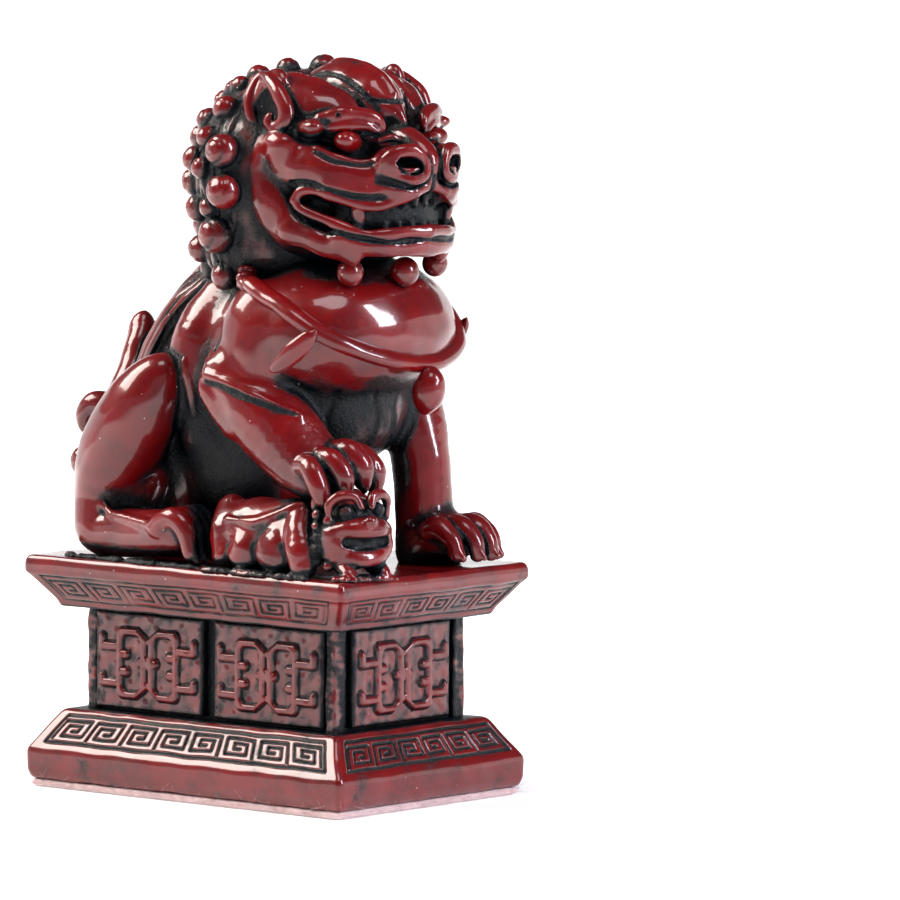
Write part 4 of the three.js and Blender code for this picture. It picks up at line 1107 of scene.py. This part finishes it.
def build_fibres(material, count=1500):
    """Loose fibres: thin tapering triangular tubes that leave the felt's rim and curl, each along its own
    arc."""
    draw = np.random.default_rng(71)
    columns = perimeter(0.4, (81, 57))
    root = columns[draw.integers(0, len(columns), count)]
    start = np.stack([root[:, 0] * 27.6 + root[:, 2] * 1.3, root[:, 1] * 39.6 + root[:, 3] * 1.3,
        draw.uniform(0.15, 1.3, count)], 1)
    upright = np.array([0, 0, 1.0])
    tangent = np.stack([-root[:, 3], root[:, 2], np.zeros(count)], 1)
    normal = np.stack([root[:, 2], root[:, 3], np.zeros(count)], 1)
    way = normal * draw.uniform(0.15, 0.9, (count, 1)) + tangent * draw.normal(0, 0.9, (count, 1))
    bend = tangent * draw.normal(0, 0.8, (count, 1)) + upright * draw.normal(0.15, 0.5, (count, 1))
    length = draw.gamma(3.0, 0.42, (count, 1))
    steps = np.linspace(0, 1, 7)
    share = steps[None, :, None]
    line = start[:, None] + length[:, None] * (way[:, None] * share + bend[:, None] * share**2)
    line[..., :2] = np.clip(line[..., :2], (-31.4, -44), (31.4, 44))
    line[..., 2] = np.clip(line[..., 2], 0.06, 4)
    angles = np.array([0, 2.09, 4.19])
    cosine, sine = [wave(angles)[None, None, :, None] for wave in (np.cos, np.sin)]
    ring = 0.032 * (1 - 0.6 * share[..., None]) * (cosine * normal[:, None, None] + sine * upright)
    vertices = (line[:, :, None] + ring).reshape(-1, 3)
    first = len(steps) * len(angles) * np.arange(count)[:, None, None]
    quads = (grid_faces(len(steps), len(angles), wrap_columns=True)[None] + first).reshape(-1, 4)
    triangles = (np.array([[0, 1, 2], [20, 19, 18]])[None] + first).reshape(-1, 3)
    return make_piece("felt_fibres", vertices, quads, np.zeros(len(vertices)), material, [],
        triangles)


# ------------------------------------------------------------------ the worn surface

class Wear:
    """Where the dark wash was left: how enclosed each place is, from blurred copies of the figure's solid."""

    def __init__(self, clays, step=0.8):
        """Fills a grid with the clays and the pedestal, and blurs it through its waves, at two widths."""
        self.low, self.step = np.array([-44.0, -56.0, 30.0]), step
        shape = (112, 138, 156)
        axes = [self.low[i] + step * np.arange(shape[i]) for i in range(3)]
        x, y, z = np.meshgrid(*axes, indexing="ij")
        points = np.column_stack([x.ravel(), y.ravel(), z.ravel()])
        solid = np.zeros(len(points))
        for clay in clays:
            solid = np.maximum(solid, np.clip(0.5 - clay.sample(points) / step, 0, 1))
        block = (np.abs(points[:, 0]) < 29.8) & (np.abs(points[:, 1]) < 41.8) & (points[:, 2] < PEDESTAL_TOP)
        solid = np.maximum(solid, block).reshape(shape)
        waves = [np.fft.fftfreq(n, step) for n in shape[:2]] + [np.fft.rfftfreq(shape[2], step)]
        square = sum(w**2 for w in np.meshgrid(*waves, indexing="ij"))
        spectrum = np.fft.rfftn(solid)
        self.blurs = [np.fft.irfftn(spectrum * np.exp(-2 * (math.pi * width)**2 * square), s=shape)
            for width in (1.3, 3.6)]

    def on(self, vertices, normals):
        """The wash at a surface: much where a ball just outside it is mostly filled, none on a crest."""
        near, wide = [between(blur, self.low, self.step, vertices + away * normals) for blur,
            away in zip(self.blurs, (0.9, 2.6))]
        return np.clip((near - 0.27) * 3.2, -0.5, 1) + np.clip((wide - 0.30) * 2.6, -0.4, 1)


def vertex_normals(vertices, quads):
    """The normal at each vertex: the sum of its quads' normals, each as long as the quad is large, made one
    long."""
    a, b, c, d = [vertices[quads[:, i]] for i in range(4)]
    face = np.cross(c - a, d - b)
    total = np.zeros_like(vertices)
    for i in range(4):
        for axis in range(3):
            total[:, axis] += np.bincount(quads[:, i], face[:, axis], len(vertices))
    return total / (np.linalg.norm(total, axis=1)[:, None] + 1e-12)


def crease(clay, local, normals):
    """Fine hollows: how far the field a little way outside falls short of that distance."""
    ahead = 0.9
    return np.clip((ahead - clay.at(local + ahead * normals)) / ahead - 0.06, 0, 1)


SCULPTS = {}


def sculpt(settings):
    """All the clays and the wear between them, made once."""
    if not SCULPTS:
        SCULPTS["head"] = sculpt_head(settings.head_step)
        SCULPTS["mane"] = sculpt_mane(settings.head_step + 0.02)
        SCULPTS["chest"] = sculpt_chest(settings.body_step)
        SCULPTS["haunches"] = sculpt_haunches(settings.body_step + 0.04)
        SCULPTS["cub"] = sculpt_cub(settings.cub_step)
        SCULPTS["wear"] = Wear(list(SCULPTS.values()))
    return SCULPTS


def build_clay(settings, name, piece, material, replaces):
    """Skins one clay, works out its wash and painted shade, and makes its piece."""
    parts = sculpt(settings)
    clay = parts[name]
    local, quads = clay.skin()
    vertices = clay.to_world(local)
    normals = vertex_normals(vertices, quads)
    wash = 0.55 * parts["wear"].on(vertices, normals) + 1.7 * crease(clay, local,
        vertex_normals(local, quads))
    # painted shade: darker where the surface faces down, lighter where it faces up; then the dark patches,
    # wash in most places and painted shade in some hollows
    wash = wash - 0.12 * normals[:, 2] + clay.patch_darkness(local)
    wash = wash + 0.10 * wobble(*vertices.T, 8, 81) + 0.06 * wobble(*vertices.T, 1.7, 82)
    for _ in range(2):
        wash = smoothed(wash, quads)
    return make_piece(piece, vertices, quads, wash, material, replaces)


def smoothed(values, quads):
    """Each vertex's value averaged with its faces' means."""
    mean = values[quads].mean(1)
    total, count = np.zeros_like(values), np.zeros_like(values)
    for i in range(4):
        total += np.bincount(quads[:, i], mean, len(values))
        count += np.bincount(quads[:, i], minlength=len(values))
    return 0.5 * values + 0.5 * total / np.maximum(count, 1)


# ------------------------------------------------------------------ collar, bell, tassels, beard and eyes

def swept(points, spans=10, sides=36, flatten=(0, 0, 1), squeeze=1.0):
    """A tube of changing radius through [x, y, z, radius] points, closed by fans. Its section is an ellipse
    whose axis along the direction flatten is squeeze times the other."""
    p = smooth_path(points, spans)
    tangent = np.gradient(p[:, :3], axis=0)
    tangent /= np.linalg.norm(tangent, axis=1)[:, None]
    rise = np.array(flatten, float)
    rise = rise[None] - (tangent @ rise)[:, None] * tangent
    rise /= np.linalg.norm(rise, axis=1)[:, None] + 1e-9
    side = np.cross(tangent, rise)
    angle = np.linspace(0, 2 * np.pi, sides, endpoint=False)
    ring = squeeze * np.cos(angle)[None, :, None] * rise[:, None] + np.sin(angle)[None, :, None] * side[:,
        None]
    vertices = (p[:, None, :3] + p[:, 3, None, None] * ring).reshape(-1, 3)
    quads = grid_faces(len(p), sides, wrap_columns=True)
    return np.vstack([vertices, p[0, :3], p[-1, :3]]), quads, end_fans(len(p), sides)


def ball(centre, radii, turn=(0, 0, 0), rows=30, columns=48):
    """An ellipsoid as a grid of latitude and longitude, its poles closed by fans."""
    latitude = np.linspace(-np.pi / 2, np.pi / 2, rows + 2)[1:-1]
    longitude = np.linspace(0, 2 * np.pi, columns, endpoint=False)
    latitude, longitude = np.meshgrid(latitude, longitude, indexing="ij")
    unit = np.stack([np.cos(latitude) * np.cos(longitude), np.cos(latitude) * np.sin(longitude),
        np.sin(latitude)], 2)
    unit = np.vstack([unit.reshape(-1, 3), [[0, 0, -1], [0, 0, 1]]])
    quads = grid_faces(rows, columns, wrap_columns=True)
    return unit * radii @ turning(turn).T + centre, quads, end_fans(rows, columns)


def outward(vertices, quads, triangles):
    """The same faces, all turned over if the solid they close would otherwise have a negative volume."""
    t = np.vstack([quads[:, [0, 1, 2]], quads[:, [0, 2, 3]], triangles])
    a, b, c = [vertices[t[:, i]] - vertices.mean(0) for i in range(3)]
    if np.einsum("ij,ij->", a, np.cross(b, c)) < 0:
        return quads[:, ::-1], triangles[:, ::-1]
    return quads, triangles


def build_worn(settings, name, shape, material, replaces, dark=0.0):
    """Makes a swept or round piece of the figure, with the same wear as the clay round it."""
    vertices, quads, triangles = shape
    quads, triangles = outward(vertices, quads, triangles)
    normals = vertex_normals(vertices, quads)
    wash = 0.55 * sculpt(settings)["wear"].on(vertices, normals) + dark + 0.1 * wobble(*vertices.T, 2.4, 91)
    return make_piece(name, vertices, quads, wash, material, replaces, triangles)


def build_collar(settings, material):
    """The collar, a flattened tube that lies on the chest, and the bell, a turned drop that hangs at its
    front."""
    band = [(-17, -4, 113, 1.2), (-23, -8.4, 109.6, 1.5), (-24.6, -15.4, 105.2, 1.6),
        (-24.4, -22.6, 100.4, 1.6), (-21.4, -29, 95.6, 1.6), (-15, -34.2, 92, 1.6), (-7.5, -37.2, 89.4, 1.6),
        (0, -38.2, 88, 1.6), (7.5, -37.4, 88.2, 1.6), (15, -34.6, 90.2, 1.6), (21.4, -29.4, 94, 1.6),
        (24.4, -22.6, 99.2, 1.6), (24.6, -15.4, 104.6, 1.6), (23, -8.4, 109.6, 1.5), (17, -4, 113, 1.2)]
    path = sculpt(settings)["chest"].settle([(x, y, z, 1.55 * radius) for x, y, z, radius in band], steps=12)
    build_worn(settings, "collar", swept(path, spans=1, sides=24, flatten=(0, -0.55, 1), squeeze=0.72),
        material, ["collar_band"], dark=-0.2)
    bell = [(0.4, -38.8, 88.4, 0.5), (0.4, -39.2, 87.4, 1.9), (0.2, -39.6, 85.4, 3), (0, -39.2, 83, 3.3),
        (0, -38.6, 80.9, 2.7), (0, -38.2, 79.3, 1.3), (0, -38, 78.7, 0.3)]
    build_worn(settings, "bell", swept(bell), material, ["collar_bell"])


def build_tassels(settings, material):
    """A leaf-shaped tassel on either shoulder: a tube that swells and narrows again, pressed flat."""
    for side, name in ((1, "right"), (-1, "left")):
        leaf = [(-23.8, -29.8, 96.4, 0.3), (-24.6, -28.6, 95, 1.5), (-25.4, -26, 92.4, 2.1),
            (-25.8, -23.4, 90.2, 1.9), (-26, -20.8, 88.4, 1.1), (-26, -19.6, 87.8, 0.2)]
        path = [(side * x, y, z, radius) for x, y, z, radius in leaf]
        shape = swept(path, flatten=(side * -0.8, -0.5, -0.1), squeeze=0.6)
        build_worn(settings, "tassel_leaf_" + name, shape, material, ["tassel_" + name])


def build_beard(settings, material):
    """Three balls of hair under the jaw, a little taller than wide."""
    for name, centre, radius in (("right", (-13.2, -29.6, 107.4), 2.7), ("centre", (-1.4, -34, 107.2), 2.9),
            ("left", (11.4, -31.4, 108.2), 2.6)):
        build_worn(settings, "beard_ball_" + name, ball(centre, (radius, radius, radius * 1.05)), material,
            ["beard_curl_" + name], dark=-0.1)


def build_eyes(settings, material):
    """The eyeballs: ellipsoids turned to the slant of their sockets, and then turned with the head."""
    head = sculpt(settings)["head"]
    for side, name in ((1, "right"), (-1, "left")):
        vertices, quads, triangles = ball((-12.5 * side, -31.2, 133.5), (4.1, 2.7, 2.2),
            (0, 9 * side, 27 * side))
        build_worn(settings, "eyeball_" + name, (head.to_world(vertices), quads, triangles), material,
            ["eye_" + name], dark=-0.55)


# ------------------------------------------------------------------ materials

def new_material(name):
    """An empty material of that name, its tree, and its object coordinates in millimetres."""
    material = bpy.data.materials.new(name)
    material.use_nodes = True
    tree = material.node_tree
    tree.nodes.clear()
    place = add_node(tree, "ShaderNodeTexCoord").outputs["Object"]
    scaled = add_node(tree, "ShaderNodeVectorMath", {"operation": "SCALE"}, _0=place, Scale=1 / MILLIMETRE)
    return material, tree, scaled.outputs["Vector"]


COLOUR = {"data_type": "RGBA"}
MULTIPLY = {"operation": "MULTIPLY"}
MULTIPLY_ADD = {"operation": "MULTIPLY_ADD"}


def varnished_resin(settings, name):
    """Cast polyester resin, painted red, rubbed with a dark wash and varnished.

    The eye sees a deep cherry red with mottled darker clouds, near-black blue-green wash in every hollow,
    grainy and full of small sparks, broad reflections broken by a faint orange peel, and a few pale pinholes
    where the casting had bubbles. The same near-black colour also paints shade where the attribute carries
    it: the belly's hollow, under the chest and the cornice, round the waist's core, and on faces that turn
    down.
    """
    material, tree, place = new_material(name)
    add = functools.partial(add_node, tree)
    wash = add("ShaderNodeAttribute", {"attribute_name": "wash"}).outputs["Fac"]
    grain = add("ShaderNodeTexNoise", Vector=place, Scale=1 / 0.35, Detail=5, Roughness=0.65).outputs["Fac"]
    coarse = add("ShaderNodeTexNoise", Vector=place, Scale=1 / 0.7, Detail=4, Roughness=0.6).outputs["Fac"]
    blotch = add("ShaderNodeTexNoise", Vector=place, Scale=1 / 2.2, Detail=4, Roughness=0.6).outputs["Fac"]
    cloud = add("ShaderNodeTexNoise", Vector=place, Scale=1 / 9, Detail=3, Roughness=0.55).outputs["Fac"]
    peel = add("ShaderNodeTexNoise", Vector=place, Scale=1 / 0.8, Detail=2, Roughness=0.5).outputs["Fac"]

    # where the wash and the painted shade lie: thick is opaque, thin is a dark glaze over the red
    uneven = add("ShaderNodeMath", MULTIPLY_ADD, _0=grain, _1=0.42, _2=wash).outputs[0]
    uneven = add("ShaderNodeMath", MULTIPLY_ADD, _0=blotch, _1=0.3, _2=uneven).outputs[0]
    thick = add("ShaderNodeValToRGB", stops=[(0.5, 0.0), (0.66, 0.6), (0.84, 1.0)], Fac=uneven).outputs[0]
    thin = add("ShaderNodeValToRGB", stops=[(0.34, 0.0), (0.62, 1.0)], Fac=uneven).outputs[0]
    dust = add("ShaderNodeValToRGB", stops=[(0.56, 0.0), (0.7, 0.4)], Fac=grain).outputs[0]
    grime_and_shade = add("ShaderNodeMix", COLOUR, _0=dust, _6=[*settings.wash, 1], _7=linear("1b2a2f")).outputs[2]

    # the red under it, darker in clouds and warmer in blotches
    clouds = add("ShaderNodeValToRGB", stops=[(0.38, 0.0), (0.64, 1.0)], Fac=cloud).outputs[0]
    warmth = add("ShaderNodeValToRGB", stops=[(0.56, 0.0), (0.74, 0.45)], Fac=blotch).outputs[0]
    red = add("ShaderNodeMix", COLOUR, _0=clouds, _6=[*settings.red, 1], _7=linear("560509")).outputs[2]
    red = add("ShaderNodeMix", COLOUR, _0=warmth, _6=red, _7=linear("94140f")).outputs[2]
    red = add("ShaderNodeMix", COLOUR, _0=thin, _6=red, _7=[*settings.deep_red, 1]).outputs[2]
    colour = add("ShaderNodeMix", COLOUR, _0=thick, _6=red, _7=grime_and_shade).outputs[2]
    bubbles = add("ShaderNodeTexVoronoi", Vector=place, Scale=0.24).outputs["Distance"]
    pinholes = add("ShaderNodeValToRGB", stops=[(0.026, 0.8), (0.034, 0.0)], Fac=bubbles).outputs[0]
    colour = add("ShaderNodeMix", COLOUR, _0=pinholes, _6=colour, _7=linear("d8b8b0")).outputs[2]

    # varnish: an orange peel all over, and grit in the wash, which takes less of it
    rough = add("ShaderNodeMath", MULTIPLY_ADD, _0=blotch, _1=0.1, _2=settings.roughness).outputs[0]
    grit = add("ShaderNodeMath", MULTIPLY, _0=coarse, _1=thick).outputs[0]
    bump = add("ShaderNodeBump", Strength=0.22, Distance=0.10 * MILLIMETRE, Height=peel).outputs["Normal"]
    bump = add("ShaderNodeBump", Strength=1.0, Distance=0.34 * MILLIMETRE, Height=grit,
        Normal=bump).outputs["Normal"]
    varnish = add("ShaderNodeMath", MULTIPLY_ADD, _0=thick, _1=-0.78, _2=0.8).outputs[0]
    shader = add("ShaderNodeBsdfPrincipled", Base_Color=colour, Roughness=rough, Normal=bump,
        Coat_Weight=varnish)
    shader.inputs["IOR"].default_value = 1.5
    shader.inputs["Specular IOR Level"].default_value = 0.2
    shader.inputs["Coat Roughness"].default_value = 0.09
    shader.inputs["Coat IOR"].default_value = 1.5
    add("ShaderNodeOutputMaterial", Surface=shader.outputs["BSDF"])
    return material


def pressed_felt():
    """Pressed synthetic felt, pale pink where it has taken colour from the resin: a matt fuzz of fine
    crossed fibres."""
    material, tree, place = new_material("pressed felt")
    add = functools.partial(add_node, tree)
    fuzz = add("ShaderNodeTexNoise", Vector=place, Scale=1 / 0.25, Detail=6, Roughness=0.7).outputs["Fac"]
    cloud = add("ShaderNodeTexNoise", Vector=place, Scale=1 / 4, Detail=3, Roughness=0.5).outputs["Fac"]
    tint = add("ShaderNodeMix", COLOUR, _0=cloud, _6=linear("dcbfbf"), _7=linear("ad7074")).outputs[2]
    pale = add("ShaderNodeMath", MULTIPLY, _0=fuzz, _1=0.5).outputs[0]
    colour = add("ShaderNodeMix", COLOUR, _0=pale, _6=tint, _7=linear("f6eeee")).outputs[2]
    bump = add("ShaderNodeBump", Strength=0.6, Distance=0.3 * MILLIMETRE, Height=fuzz).outputs["Normal"]
    shader = add("ShaderNodeBsdfPrincipled", Base_Color=colour, Roughness=0.95, Normal=bump)
    shader.inputs["Sheen Weight"].default_value = 0.5
    add("ShaderNodeOutputMaterial", Surface=shader.outputs["BSDF"])
    return material


def glowing_paper():
    """White background paper with painted light: it glows, plain and dim near the object and towards the
    camera's side, and bright further off, where the eye sees pure white."""
    material, tree, place = new_material("glowing white paper")
    add = functools.partial(add_node, tree)
    metres = add("ShaderNodeVectorMath", {"operation": "SCALE"}, _0=place, Scale=MILLIMETRE).outputs["Vector"]
    away = add("ShaderNodeVectorMath", {"operation": "LENGTH"}, _0=metres).outputs["Value"]
    ahead = add("ShaderNodeVectorMath", {"operation": "DOT_PRODUCT"}, _0=metres,
        _1=(-0.78, -0.63, 0)).outputs["Value"]
    glow = add("ShaderNodeValToRGB", stops=[(0.08, 0.22), (0.4, 0.97)], Fac=away).outputs[0]
    front = add("ShaderNodeValToRGB", stops=[(0.16, 0.0), (0.45, 1.0)], Fac=ahead).outputs[0]
    # painted light: the glow is turned down to grey on the camera's side of the object
    glow = add("ShaderNodeMix", COLOUR, _0=front, _6=glow, _7=(0.16, 0.16, 0.19, 1)).outputs[2]
    shader = add("ShaderNodeBsdfPrincipled", Base_Color=linear("f4f4f4"), Roughness=0.9, Emission_Color=glow)
    shader.inputs["Emission Strength"].default_value = 1.0
    add("ShaderNodeOutputMaterial", Surface=shader.outputs["BSDF"])
    return material


MATERIALS = {}


def materials(context):
    """The finishes, made once: resin for the figure, resin for the pedestal, and felt."""
    if not MATERIALS:
        settings = context.scene.foo_resin
        MATERIALS["figure"] = varnished_resin(settings, "varnished red resin, figure")
        MATERIALS["pedestal"] = varnished_resin(settings, "varnished red resin, pedestal")
        MATERIALS["felt"] = pressed_felt()
    return MATERIALS


# ------------------------------------------------------------------ operators

class FOO_OT_head(bpy.types.Operator):
    """Sculpts the lion's head and sets its eyes"""
    bl_idname = "foo.head"
    bl_label = "Head"

    def execute(self, context):
        resin = materials(context)["figure"]
        build_clay(context.scene.foo_figure, "head", "lion_head", resin, ["head", "lower_jaw", "tongue",
            "fang_right", "fang_left", "nose", "brow_centre", "brow_right", "brow_left", "eyebrow_right",
            "eyebrow_left", "ear_right", "ear_left"])
        build_eyes(context.scene.foo_figure, resin)
        return {"FINISHED"}


class FOO_OT_mane(bpy.types.Operator):
    """Sculpts the mane of snail curls and hangs the beard"""
    bl_idname = "foo.mane"
    bl_label = "Mane and beard"

    def execute(self, context):
        resin = materials(context)["figure"]
        build_clay(context.scene.foo_figure, "mane", "curled_mane", resin, ["mane"])
        build_beard(context.scene.foo_figure, resin)
        return {"FINISHED"}


class FOO_OT_body(bpy.types.Operator):
    """Sculpts the forequarters and the hindquarters"""
    bl_idname = "foo.body"
    bl_label = "Body"

    def execute(self, context):
        resin = materials(context)["figure"]
        build_clay(context.scene.foo_figure, "chest", "forequarters", resin,
            ["chest_bib", "foreleg_right", "foreleg_left", "forepaw_right", "forepaw_left"])
        build_clay(context.scene.foo_figure, "haunches", "hindquarters", resin,
            ["torso", "spine_mane", "tail", "hind_leg_right", "hind_leg_left", "hind_paw_right",
            "hind_paw_left", "rear_tuft_right", "rear_tuft_left"])
        return {"FINISHED"}


class FOO_OT_cub(bpy.types.Operator):
    """Sculpts the cub under the right paw"""
    bl_idname = "foo.cub"
    bl_label = "Cub"

    def execute(self, context):
        build_clay(context.scene.foo_figure, "cub", "cub", materials(context)["figure"],
            ["cub_body", "cub_head"])
        return {"FINISHED"}


class FOO_OT_collar(bpy.types.Operator):
    """Sweeps the collar, its bell and its leaf tassels"""
    bl_idname = "foo.collar"
    bl_label = "Collar"

    def execute(self, context):
        resin = materials(context)["figure"]
        build_collar(context.scene.foo_figure, resin)
        build_tassels(context.scene.foo_figure, resin)
        return {"FINISHED"}


class FOO_OT_mouldings(bpy.types.Operator):
    """Carries the plinth's and the cornice's profiles round the pedestal and cuts their key frets"""
    bl_idname = "foo.mouldings"
    bl_label = "Plinth and cornice"

    def execute(self, context):
        depth = context.scene.foo_pedestal.fret_depth / MILLIMETRE
        build_plinth(materials(context)["pedestal"], depth)
        build_cornice(materials(context)["pedestal"], depth)
        return {"FINISHED"}


class FOO_OT_waist(bpy.types.Operator):
    """Builds the core of the waist, its corner posts and its six carved panels"""
    bl_idname = "foo.waist"
    bl_label = "Waist and panels"

    def execute(self, context):
        resin = materials(context)["pedestal"]
        relief = context.scene.foo_pedestal.relief / MILLIMETRE
        build_waist(resin)
        for name, side in (("front", -1), ("back", 1)):
            build_panel("waist_panel_" + name, resin, relief, (0, side * 33.2, PANEL_MIDDLE), (0, side), 30.6)
        for name, side in (("right", -1), ("left", 1)):
            for end, y in (("front", -15.7), ("rear", 15.7)):
                build_panel(f"waist_panel_{name}_{end}", resin, relief, (side * 21.2, y, PANEL_MIDDLE),
                    (side, 0), 28.4)
        return {"FINISHED"}


class FOO_OT_felt(bpy.types.Operator):
    """Lays the felt under the plinth, with loose fibres at its rim"""
    bl_idname = "foo.felt"
    bl_label = "Felt"

    def execute(self, context):
        felt = build_felt(materials(context)["felt"])
        fibres = build_fibres(materials(context)["felt"])
        return {"FINISHED"}


def soft_light(name, direction, distance, size, power, colour, target=(0, 0, 0.09)):
    """A rectangular softbox that faces the object from a direction."""
    data = bpy.data.lights.new(name, "AREA")
    data.shape = "RECTANGLE"
    data.size, data.size_y = size
    data.energy = power
    data.color = colour
    lamp = bpy.data.objects.new(name, data)
    way = Vector(direction).normalized()
    lamp.location = Vector(target) + way * distance
    lamp.rotation_euler = way.to_track_quat("Z", "Y").to_euler()
    bpy.context.collection.objects.link(lamp)


FLOOR_RADIUS, COVE = 2.4, 0.9  # metres: the flat of the paper, and the curve that rises all round it
FLOOR_GAP = 0.0002  # metres the paper lies under the felt
FLAT_RINGS, COVE_RINGS, SPOKES = 40, 12, 96
AZIMUTH, ELEVATION, ROLL = -51.15, 5.06, 0.56  # degrees: where the camera stands, and its roll
DISTANCE, LENS = 1.84496, 362.91  # metres from the point looked at, and millimetres
AIM_RIGHT, AIM_UP = 0.0350, 0.06928  # metres from the origin to the point looked at, across the view


class FOO_OT_stage(bpy.types.Operator):
    """Lays white paper under the object, sets softboxes round it, and looks at it from the front right"""
    bl_idname = "foo.stage"
    bl_label = "Stage"

    def execute(self, context):
        radius = np.concatenate([np.geomspace(0.02, FLOOR_RADIUS, FLAT_RINGS),
            np.full(COVE_RINGS, FLOOR_RADIUS)])
        rise = np.concatenate([np.zeros(FLAT_RINGS), np.linspace(0, math.pi / 2, COVE_RINGS + 1)[1:]])
        angle = np.linspace(0, 2 * math.pi, SPOKES, endpoint=False)
        reach = radius + COVE * np.sin(rise)
        height = COVE * (1 - np.cos(rise)) - FLOOR_GAP
        rings = np.stack([np.outer(reach, np.cos(angle)), np.outer(reach, np.sin(angle)),
            np.repeat(height[:, None], SPOKES, 1)], 2).reshape(-1, 3)
        spoke = np.arange(SPOKES)
        middle = np.column_stack([np.full(SPOKES, len(rings)), spoke, (spoke + 1) % SPOKES])
        quads = grid_faces(FLAT_RINGS + COVE_RINGS, SPOKES, wrap_columns=True)[:, ::-1]
        mesh = bpy.data.meshes.new("sweep")
        mesh.from_pydata(np.vstack([rings, [0, 0, -FLOOR_GAP]]).tolist(), [],
            quads.tolist() + middle.tolist())
        mesh.polygons.foreach_set("use_smooth", np.ones(len(mesh.polygons), bool))
        floor = bpy.data.objects.new("sweep", mesh)
        context.collection.objects.link(floor)
        mesh.materials.append(glowing_paper())

        soft_light("softbox, left rear", (-0.42, 0.62, 0.66), 0.9, (0.62, 0.5), 15, (1, 0.93, 0.86))
        soft_light("softbox, front", (0.17, -0.9, 0.48), 0.9, (0.16, 0.6), 10, (0.9, 0.9, 1))
        soft_light("softbox, above", (-0.3, -0.3, 0.95), 1.1, (0.4, 0.4), 3, (0.97, 0.97, 1))
        world = bpy.data.worlds.new("white room")
        world.use_nodes = True
        sky = world.node_tree.nodes["Background"]
        sky.inputs["Color"].default_value = (0.95, 0.97, 1, 1)
        sky.inputs["Strength"].default_value = 0.07
        context.scene.world = world
        context.scene.view_settings.view_transform = "Standard"

        azimuth, elevation, roll = math.radians(AZIMUTH), math.radians(ELEVATION), math.radians(ROLL)
        level = math.cos(elevation)
        back = Vector((math.sin(azimuth) * level, -math.cos(azimuth) * level, math.sin(elevation)))
        right = (-back).cross(Vector((0, 0, 1))).normalized()
        up = right.cross(-back)
        data = bpy.data.cameras.new("camera")
        data.sensor_width, data.lens = 36, LENS
        data.clip_start, data.clip_end = 0.1, 20
        camera = bpy.data.objects.new("camera", data)
        turned_right = right * math.cos(roll) + up * math.sin(roll)
        turned_up = up * math.cos(roll) - right * math.sin(roll)
        rotation = Matrix([turned_right, turned_up, back]).transposed().to_4x4()
        middle = right * AIM_RIGHT + up * AIM_UP
        camera.matrix_world = Matrix.Translation(middle + back * DISTANCE) @ rotation
        context.collection.objects.link(camera)
        context.scene.camera = camera
        return {"FINISHED"}


class FOO_PT_panel(bpy.types.Panel):
    """Lists the steps that build the statue and the settings they read"""
    bl_idname = "FOO_PT_panel"
    bl_label = "Foo Dog Statue"
    bl_space_type = "VIEW_3D"
    bl_region_type = "UI"
    bl_category = "Foo Dog"

    def draw(self, context):
        layout = self.layout
        for group, names in ((context.scene.foo_resin, ("red", "deep_red", "wash", "roughness")),
                (context.scene.foo_figure, ("head_step", "body_step", "cub_step")),
                (context.scene.foo_pedestal, ("fret_depth", "relief"))):
            box = layout.box()
            for name in names:
                box.prop(group, name)
        for operator in OPERATORS:
            layout.operator(operator.bl_idname)


OPERATORS = (FOO_OT_head, FOO_OT_mane, FOO_OT_body, FOO_OT_cub, FOO_OT_collar, FOO_OT_mouldings,
    FOO_OT_waist, FOO_OT_felt, FOO_OT_stage)
GROUPS = (("foo_resin", ResinSettings), ("foo_figure", FigureSettings), ("foo_pedestal", PedestalSettings))


def register():
    """Makes the settings, the operators and the panel known to Blender."""
    for name, group in GROUPS:
        bpy.utils.register_class(group)
        setattr(bpy.types.Scene, name, bpy.props.PointerProperty(type=group))
    for operator in OPERATORS:
        bpy.utils.register_class(operator)
    bpy.utils.register_class(FOO_PT_panel)


def unregister():
    """Takes away what register added, in the opposite order."""
    bpy.utils.unregister_class(FOO_PT_panel)
    for operator in reversed(OPERATORS):
        bpy.utils.unregister_class(operator)
    for name, group in reversed(GROUPS):
        delattr(bpy.types.Scene, name)
        bpy.utils.unregister_class(group)


def main():
    """Builds every piece and the stage through the operators."""
    register()
    for operator in OPERATORS:
        group, name = operator.bl_idname.split(".")
        getattr(getattr(bpy.ops, group), name)()


if __name__ == "__main__":
    main()
